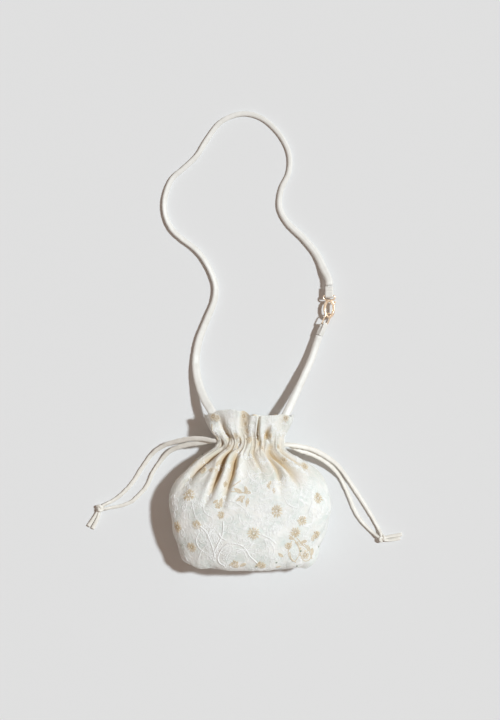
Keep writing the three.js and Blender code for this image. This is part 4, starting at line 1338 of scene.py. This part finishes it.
def trefoil(middle, towards):
    """A closed three-lobed curve round an axis that lies level, pressed a little flat."""
    t = full_turn(KNOT_STEPS)
    round_it = LOBE * (np.sin(t) + 2 * np.sin(2 * t))
    up_it = 0.8 * LOBE * (np.cos(t) - 2 * np.cos(2 * t))
    along_it = -1.5 * LOBE * np.sin(3 * t)
    axis = np.array([*unit(np.array(towards)), 0])
    side = np.array([-axis[1], axis[0], 0])
    line = np.array(middle) * MM + np.outer(round_it, side) + np.outer(along_it, axis)
    line[:, 2] += up_it
    return line


def ring_piece(name, points, *looks):
    """A tube that closes on itself, from rings of points."""
    piece = make_piece(name, points.reshape(-1, 3), grid_faces(*points.shape[:2], True, True), *looks)
    fix_outwards(piece)
    return piece


def closed_tube(line, radius, sides):
    """Rings round a closed curve, kept from twisting by a fixed outward direction."""
    way = unit(np.roll(line, -1, axis=0) - np.roll(line, 1, axis=0))
    out = unit(line - line.mean(axis=0))
    out = unit(out - way * np.sum(out * way, axis=1, keepdims=True))
    other = np.cross(way, out)
    angle = full_turn(sides)
    cos, sin = np.cos(angle)[None, :, None], np.sin(angle)[None, :, None]
    return line[:, None] + radius * (cos * out[:, None] + sin * other[:, None])


knots = {}
for side, middle, towards, *tails in KNOT_TABLE:
    rings = closed_tube(trefoil(middle, towards), KNOT_HALF_THICK, KNOT_SIDES)
    rings[..., 2] = np.maximum(rings[..., 2], 0.1 * MM)
    around, long_way = np.meshgrid(
        np.arange(KNOT_SIDES) * KNOT_GIRTH / KNOT_SIDES, np.linspace(0, KNOT_TURN_LENGTH, KNOT_STEPS)
    )
    uvs = np.stack([around, long_way], axis=-1).reshape(-1, 2)
    knot = ring_piece(f"knot_{side}_wraps", rings, STRING_SATIN, uvs, KNOT_GIRTH)
    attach(knot, "bag")
    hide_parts(f"knot_{side}")
    knots[side] = [knot]
    for name, route in zip(("a", "b"), tails):
        _, _, tail_points, tail_uvs = resting_tube(route, TAIL_SHAPE, 1.2 * MM, *STRING_SECTION)
        tail = tube_piece(f"tail_{side}_{name}", tail_points, tail_uvs, STRING_SATIN)
        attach(tail, "bag")
        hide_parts(f"knot_{side}")
        knots[side].append(tail)
print("knots", [piece.name for group in knots.values() for piece in group])

# %% The runs inside the channel
RUN_INSIDE = 7.1 * MM
RUN_OFF_MIDDLE = 2.5 * MM
NECK_MIDDLE, NECK_HALF = 2 * MM, 37.6 * MM
for side, start, lane in (("left", math.pi, RUN_OFF_MIDDLE), ("right", 0, -RUN_OFF_MIDDLE)):
    route_turns = start + np.radians(np.arange(30, 331, 15))
    run = form_point(route_turns, np.full(len(route_turns), CHANNEL_AT + lane), RUN_INSIDE)
    out = np.array([NECK_MIDDLE + math.cos(start) * NECK_HALF, CHANNEL_AT + lane])
    ends = [(*out, strands[f"drawstring_{side}_{level}"][1][0][2]) for level in ("upper", "lower")]
    run_line, run_places = smooth_line([ends[0], *run, ends[1]], 3 * MM)
    run_points, run_uvs = oval_tube(
        run_line, run_places, RUN_HALF_THICK, RUN_HALF_THICK, np.zeros(len(run_line)), 10
    )
    hidden_run = tube_piece(f"channel_run_{side}", run_points, run_uvs, STRING_SATIN)
    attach(hidden_run, "bag")
    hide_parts(f"drawstring_{side}")
    print(hidden_run.name, "length", round(run_places[-1], 3), "m")

# %% [markdown]
# ## Clasp and ring
# The clasp is a trigger hook: an oval frame with a gap, a sprung lever that closes the gap, and an
# eye that the cord's folded end goes round. Polished metal shows every facet, so the frame, the eye
# and the ring are bars swept finely along their outlines, and the solids underneath stay hidden.
# The lever rides on its own body, so it opens with the joint.

# %% Polished gold
def gold_material():
    material, tree, shader = start_material("polished_gold", {"Metallic": 1.0})
    place = add_node(tree, "ShaderNodeTexCoord").outputs["Object"]
    worn = place_group(tree, MOTTLE, Place=place, Size=0.0035)
    colour = colour_mix(tree, worn, (1.0, 0.85, 0.68), (0.66, 0.47, 0.31))
    tree.links.new(colour, shader.inputs["Base Color"])
    dull = add_node(tree, "ShaderNodeMapRange", {"Value": worn, "To Min": 0.14, "To Max": 0.3})
    tree.links.new(dull.outputs[0], shader.inputs["Roughness"])
    fine = place_group(tree, MOTTLE, Place=place, Size=0.0006)
    bumped(tree, shader, [(fine, 0.00001)])
    return material


GOLD = gold_material()
print("finish", GOLD.name)

# %% Bars of metal along flat outlines
CLASP_AT = Vector((103.8, 221.4, 9.5)) * MM
HALF_WIDE, HALF_HIGH, FRAME_MIDDLE = 5.65, 10.6, 12.5
BAR_HALF, FRAME_HALF_THICK = 1.95, 2.5
BEND_INSIDE = 6.4
RING_REACH = 15.4
clasp_place = Matrix.Translation(CLASP_AT)
ring_place = (
    Matrix.Translation(CLASP_AT + Vector((0, BEND_INSIDE, 0)) * MM)
    @ Matrix.Rotation(math.radians(-24), 4, "Z")
    @ Matrix.Rotation(math.radians(56), 4, "Y")
    @ Matrix.Translation(Vector((0, -RING_REACH, 0)) * MM)
)


def arc(middle, radius, start, end, steps):
    angle = np.radians(np.linspace(start, end, steps))
    return [(middle[0] + radius * math.cos(a), middle[1] + radius * math.sin(a)) for a in angle]


def bar_rings(outline, half_wide, half_thick, sides, closed):
    """Rings of an oval bar along a flat outline in millimetres, with rounded ends where it is open."""
    outline = np.asarray(outline, dtype=float)
    if closed:
        way = unit(np.roll(outline, -1, axis=0) - np.roll(outline, 1, axis=0))
    else:
        way = unit(np.gradient(outline, axis=0))
    size = np.ones(len(outline))
    if not closed:
        bulge = np.radians([80, 60, 40, 20])
        before = outline[0] - way[0] * half_thick * np.sin(bulge)[:, None]
        after = outline[-1] + way[-1] * half_thick * np.sin(bulge[::-1])[:, None]
        outline = np.vstack([before, outline, after])
        way = np.vstack([np.repeat(way[:1], 4, axis=0), way, np.repeat(way[-1:], 4, axis=0)])
        size = np.concatenate([np.cos(bulge), size, np.cos(bulge[::-1])])
    angle = full_turn(sides)
    out = np.stack([way[:, 1], -way[:, 0]], axis=1)
    flat = outline[:, None] + out[:, None] * (size[:, None] * half_wide * np.cos(angle))[..., None]
    return np.concatenate([flat, (size[:, None] * half_thick * np.sin(angle))[..., None]], axis=-1)


def metal_piece(name, rings, place, closed, rise=0.0):
    points = rings * MM
    points[..., 2] += rise * MM
    points = np.array([place @ Vector(p) for p in points.reshape(-1, 3)]).reshape(points.shape)
    if closed:
        piece = ring_piece(name, points, GOLD)
    else:
        piece = tube_piece(name, points, np.zeros((*points.shape[:2], 2)), GOLD)
    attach(piece, "bag")
    return piece


def frame_outline(start, end, steps):
    """Points of the frame's oval between two angles in degrees."""
    angle = np.radians(np.linspace(start, end, steps))
    return np.stack([HALF_WIDE * np.cos(angle), FRAME_MIDDLE + HALF_HIGH * np.sin(angle)], axis=1)


def ring_outline(half_wide, shoulder, corner):
    """A D: a straight bar with rounded corners, two sides and a half circle."""
    right = arc((half_wide - corner, corner), corner, -90, 0, 8)
    top = arc((0, shoulder), half_wide, 0, 180, 40)
    left = [(-x, y) for x, y in right[::-1]]
    bar = [(x, 0) for x in np.linspace(corner - half_wide, half_wide - corner, 12)[1:-1]]
    return np.array(right + top + left + bar)


frame_rings = bar_rings(frame_outline(70, 335, 90), BAR_HALF, FRAME_HALF_THICK, 20, False)
frame_bar = metal_piece("clasp_frame", frame_rings, clasp_place, False)
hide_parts("clasp_body")
for name, rise in (("clasp_cheek_upper", 2.05), ("clasp_cheek_lower", -2.05)):
    cheek = bar_rings(frame_outline(34, 70, 16), BAR_HALF, 0.5, 16, False)
    metal_piece(name, cheek, clasp_place, False, rise)
EYE_ROUTE = [
    (-2, 23.9, 0), (-5, 24.2, 0), (-6.9, 25.6, 0), (-7.1, 28.2, 0), (-5.8, 29.6, 0), (0, 29.6, 0),
    (5.8, 29.6, 0), (7.1, 28.2, 0), (6.9, 25.6, 0), (5, 24.2, 0), (2, 23.9, 0),
]
eye_line, _ = smooth_line(EYE_ROUTE, 0.5)
eye_rings = bar_rings(eye_line[:, :2], 1, 1, 14, False)
metal_piece("clasp_eye", eye_rings, clasp_place, False)
PIN_AT = (4.4, 20.1)
# Rows of radius and height above the lever's middle, for one head of the pin
PIN_HEAD = [(0.8, 2.45), (1.3, 2.5), (1.25, 2.7), (0.8, 2.95), (0.02, 3.0)]
pin_rows = [(r, -z) for r, z in PIN_HEAD[::-1]] + PIN_HEAD
pin_angle = full_turn(20)
pin_rings = np.array([
    [(PIN_AT[0] + r * math.cos(a), PIN_AT[1] + r * math.sin(a), z) for a in pin_angle] for r, z in pin_rows
])
metal_piece("clasp_pin", pin_rings, clasp_place, False)
d_ring = metal_piece("d_ring_bar", bar_rings(ring_outline(6.4, 9, 1.5), 0.9, 0.9, 14, True), ring_place, True)
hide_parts("d_ring")

# %% The lever
def bend(start, control, end, steps=8):
    t = np.linspace(0, 1, steps)[:, None]
    start, control, end = (np.array(point) for point in (start, control, end))
    return [tuple(p) for p in (1 - t) ** 2 * start + 2 * t * (1 - t) * control + t**2 * end]


LEVER_TIP = 8.55
LEVER_HALF_THICK = 1.2
lever_outline = (
    arc(PIN_AT, 1.9, 180, 63, 12)
    + [(8.4, 22.1), (9.1, 20.9)]
    + bend((9.1, 20.9), (6.9, 19.4), (6.9, 17))[1:]
    + bend((6.9, 17), (7.4, 12.5), (6.5, LEVER_TIP))[1:]
    + bend((4.1, LEVER_TIP), (4.6, 12.5), (4, 16.6))
)
lever_hole = arc(PIN_AT, 1.15, 0, 360, 25)[:-1]
shape = bmesh.new()
edges = []
for loop in (lever_outline, lever_hole):
    corners = [shape.verts.new(clasp_place @ (Vector((x, y, -LEVER_HALF_THICK)) * MM)) for x, y in loop]
    edges += [shape.edges.new((a, b)) for a, b in zip(corners, corners[1:] + corners[:1])]
bmesh.ops.triangle_fill(shape, edges=edges, use_beauty=True)
grown = bmesh.ops.extrude_face_region(shape, geom=list(shape.faces))
lifted = [v for v in grown["geom"] if isinstance(v, bmesh.types.BMVert)]
bmesh.ops.translate(shape, verts=lifted, vec=(0, 0, 2 * LEVER_HALF_THICK * MM))
bmesh.ops.recalc_face_normals(shape, faces=shape.faces)
lever_mesh = bpy.data.meshes.new("clasp_lever_arm")
shape.to_mesh(lever_mesh)
shape.free()
lever_mesh.materials.append(GOLD)
lever = show("clasp_lever_arm", lever_mesh)
soften = lever.modifiers.new("soft_edges", "BEVEL")
soften.width = 0.35 * MM
soften.segments = 3
soften.limit_method = "ANGLE"
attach(lever, "lever")
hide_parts("clasp_lever")
print("lever faces", len(lever_mesh.polygons))

# %% [markdown]
# ## Folded ends
# At each end the cord is pressed flat, folded over its metal bar and sewn down with two rows of
# stitches. The fold is a closed ring in section, with the bar in its hole. It is built as a loop of
# outlines: out along the outer face from one side to the other, and back through the hole.

# %% Folded ends of the shoulder cord
FOLD_WALL = 1.4
FOLD_PLAY = 0.5
FOLD_HALF_THICK = 3.1
FOLD_POINTS = 72


def fold_outline(length, outside):
    """The folded end from the side: a rounded front, two flat faces and a soft back."""
    corner = 1.2
    back, flat_from, flat_to = FOLD_HALF_THICK - corner, outside + 1.5, length - corner
    walk = (
        arc((0, 0), outside, 180, 360, 16)
        + [(FOLD_HALF_THICK, flat_from), (FOLD_HALF_THICK, flat_to)]
        + arc((back, flat_to), corner, 30, 90, 3)
        + arc((-back, flat_to), corner, 90, 150, 3)
        + [(-FOLD_HALF_THICK, flat_to), (-FOLD_HALF_THICK, flat_from)]
    )
    walk = np.array(walk + walk[:1])
    gone = np.concatenate([[0], np.cumsum(np.linalg.norm(np.diff(walk, axis=0), axis=1))])
    places = np.linspace(0, gone[-1], FOLD_POINTS, endpoint=False)
    return np.stack([np.interp(places, gone, walk[:, 0]), np.interp(places, gone, walk[:, 1])], axis=1)


def folded_end(name, node, length, width, bar, place):
    outside = bar + FOLD_PLAY + FOLD_WALL
    outer = fold_outline(length, outside)
    rows_at = (outside + 2.6, length - 2.0)
    spine = np.stack([np.zeros(FOLD_POINTS), np.clip(outer[:, 1], 0, length - FOLD_HALF_THICK)], axis=1)
    edge = 1.3
    rings = []
    across = [-1, -0.99, -0.95, -0.85, *np.linspace(-0.7, 0.7, 9), 0.85, 0.95, 0.99, 1]
    for share in across:
        x = share * width / 2
        close = max(0, (abs(x) - (width / 2 - edge)) / edge)
        inset = edge * (1 - math.sqrt(max(0, 1 - close**2))) * 0.6
        thin = outer - unit(outer - spine) * inset
        body = ease((thin[:, 1] - outside) / 2)
        puff = 0.25 * (1 - share**2) - 0.4 * sum(np.exp(-(((thin[:, 1] - at) / 0.8) ** 2)) for at in rows_at)
        z = thin[:, 0] + np.sign(thin[:, 0]) * puff * body
        rings.append(np.stack([np.full(FOLD_POINTS, x), thin[:, 1], z], axis=1))
    angle = np.arctan2(outer[:, 0], -outer[:, 1])
    turn_of = np.linspace(angle[0], angle[0] + 2 * math.pi, FOLD_POINTS, endpoint=False)
    hole = bar + FOLD_PLAY
    for share in across[::-1]:
        x = np.full(FOLD_POINTS, share * width / 2)
        rings.append(np.stack([x, -hole * np.cos(turn_of), hole * np.sin(turn_of)], axis=1))
    rings = np.array(rings)
    points = np.array([place @ Vector(p) for p in rings.reshape(-1, 3) * MM]).reshape(rings.shape)
    uvs = np.stack([rings[..., 0], rings[..., 1] + 3 * rings[..., 2]], axis=-1).reshape(-1, 2) * MM
    piece = ring_piece(name, points, CORD_SATIN, uvs)
    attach(piece, "bag")
    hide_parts(node)
    for at in rows_at:
        for x in np.arange(-width / 2 + 1.4, width / 2 - 1.2, 1.5):
            for face in (-1, 1):
                spot = place @ (Vector((x + 0.4, at, face * (FOLD_HALF_THICK - 0.1))) * MM)
                up = (place.to_3x3() @ Vector((0, 0, face))).normalized()
                way = (place.to_3x3() @ Vector((1, 0.15, 0))).normalized()
                fold_stitches.append((spot, up, way, 0.6 * MM, 0.2 * MM, 0.2 * MM, 0.3))
    return piece


fold_stitches = []
eye_place = Matrix.Translation(CLASP_AT + Vector((0, 29.6, 0)) * MM)
turned_back = ring_place @ Matrix.Rotation(math.pi, 4, "Z")
fold_upper = folded_end("fold_upper", "tab_upper", 12, 10.4, 1.0, eye_place)
fold_lower = folded_end("fold_lower", "tab_lower", 15.5, 9.6, 0.9, turned_back)
fold_threads = sewn_piece("fold_stitches", fold_stitches, 6, 3, THREAD)
print("folded ends", fold_upper.name, fold_lower.name)

# %% [markdown]
# ## Light and floor
# One large soft key stands to the right, a little towards the cord's far bend, and a pale room
# fills the shadows. The fill is warmer than the key, because the shadows in a photograph of white
# satin pick up its own warm bounce, so the key is a touch cool and the floor stays neutral. The
# room's bright walls show only past the floor's edge and in reflections, because polished metal
# needs something bright to reflect.

# %% Light and floor
KEY_AZIMUTH = math.radians(19)
KEY_HEIGHT = math.radians(54.5)
sun_data = bpy.data.lights.new("key_light", "SUN")
sun_data.energy = 2.88
sun_data.angle = math.radians(5)
sun_data.color = (0.858, 0.948, 1.0)
sun = show("key_light", sun_data)
towards = Vector((
    math.cos(KEY_HEIGHT) * math.cos(KEY_AZIMUTH),
    math.cos(KEY_HEIGHT) * math.sin(KEY_AZIMUTH),
    math.sin(KEY_HEIGHT),
))
sun.rotation_euler = towards.to_track_quat("Z", "Y").to_euler()

world = bpy.data.worlds.new("pale_room")
world.use_nodes = True
room = world.node_tree
fill = room.nodes["Background"]
fill.inputs["Color"].default_value = (1.0, 0.764, 0.625, 1)
fill.inputs["Strength"].default_value = 0.286
bright_walls = add_node(room, "ShaderNodeBackground", {"Color": (1.0, 0.95, 0.91, 1), "Strength": 0.85})
beyond_floor = add_node(room, "ShaderNodeBackground", {"Color": (0.745, 0.745, 0.745, 1), "Strength": 1.0})
rays = add_node(room, "ShaderNodeLightPath")
seen = fill
for ray, shown in (("Is Glossy Ray", bright_walls), ("Is Camera Ray", beyond_floor)):
    inputs = {0: rays.outputs[ray], 1: seen.outputs[0], 2: shown.outputs[0]}
    seen = add_node(room, "ShaderNodeMixShader", inputs)
room.links.new(seen.outputs[0], room.nodes["World Output"].inputs["Surface"])
bpy.context.scene.world = world
bpy.context.scene.view_settings.view_transform = "Standard"

FLOOR_HALF = 20
floor_material, *_ = start_material(
    "pale_floor", {"Base Color": (0.8, 0.8, 0.8, 1), "Roughness": 0.9, "Specular IOR Level": 0.1}
)
floor = make_piece(
    "floor",
    [(x * FLOOR_HALF, y * FLOOR_HALF, 0) for x, y in ((-1, -1), (1, -1), (1, 1), (-1, 1))],
    [(0, 1, 2, 3)],
    floor_material,
)
print("key", tuple(round(v, 2) for v in towards))

# %% Hide the drawstrings' solids
for side in ("left", "right"):
    for level in ("upper", "lower"):
        strand, line, length = strands[f"drawstring_{side}_{level}"]
        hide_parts(f"drawstring_{side}")
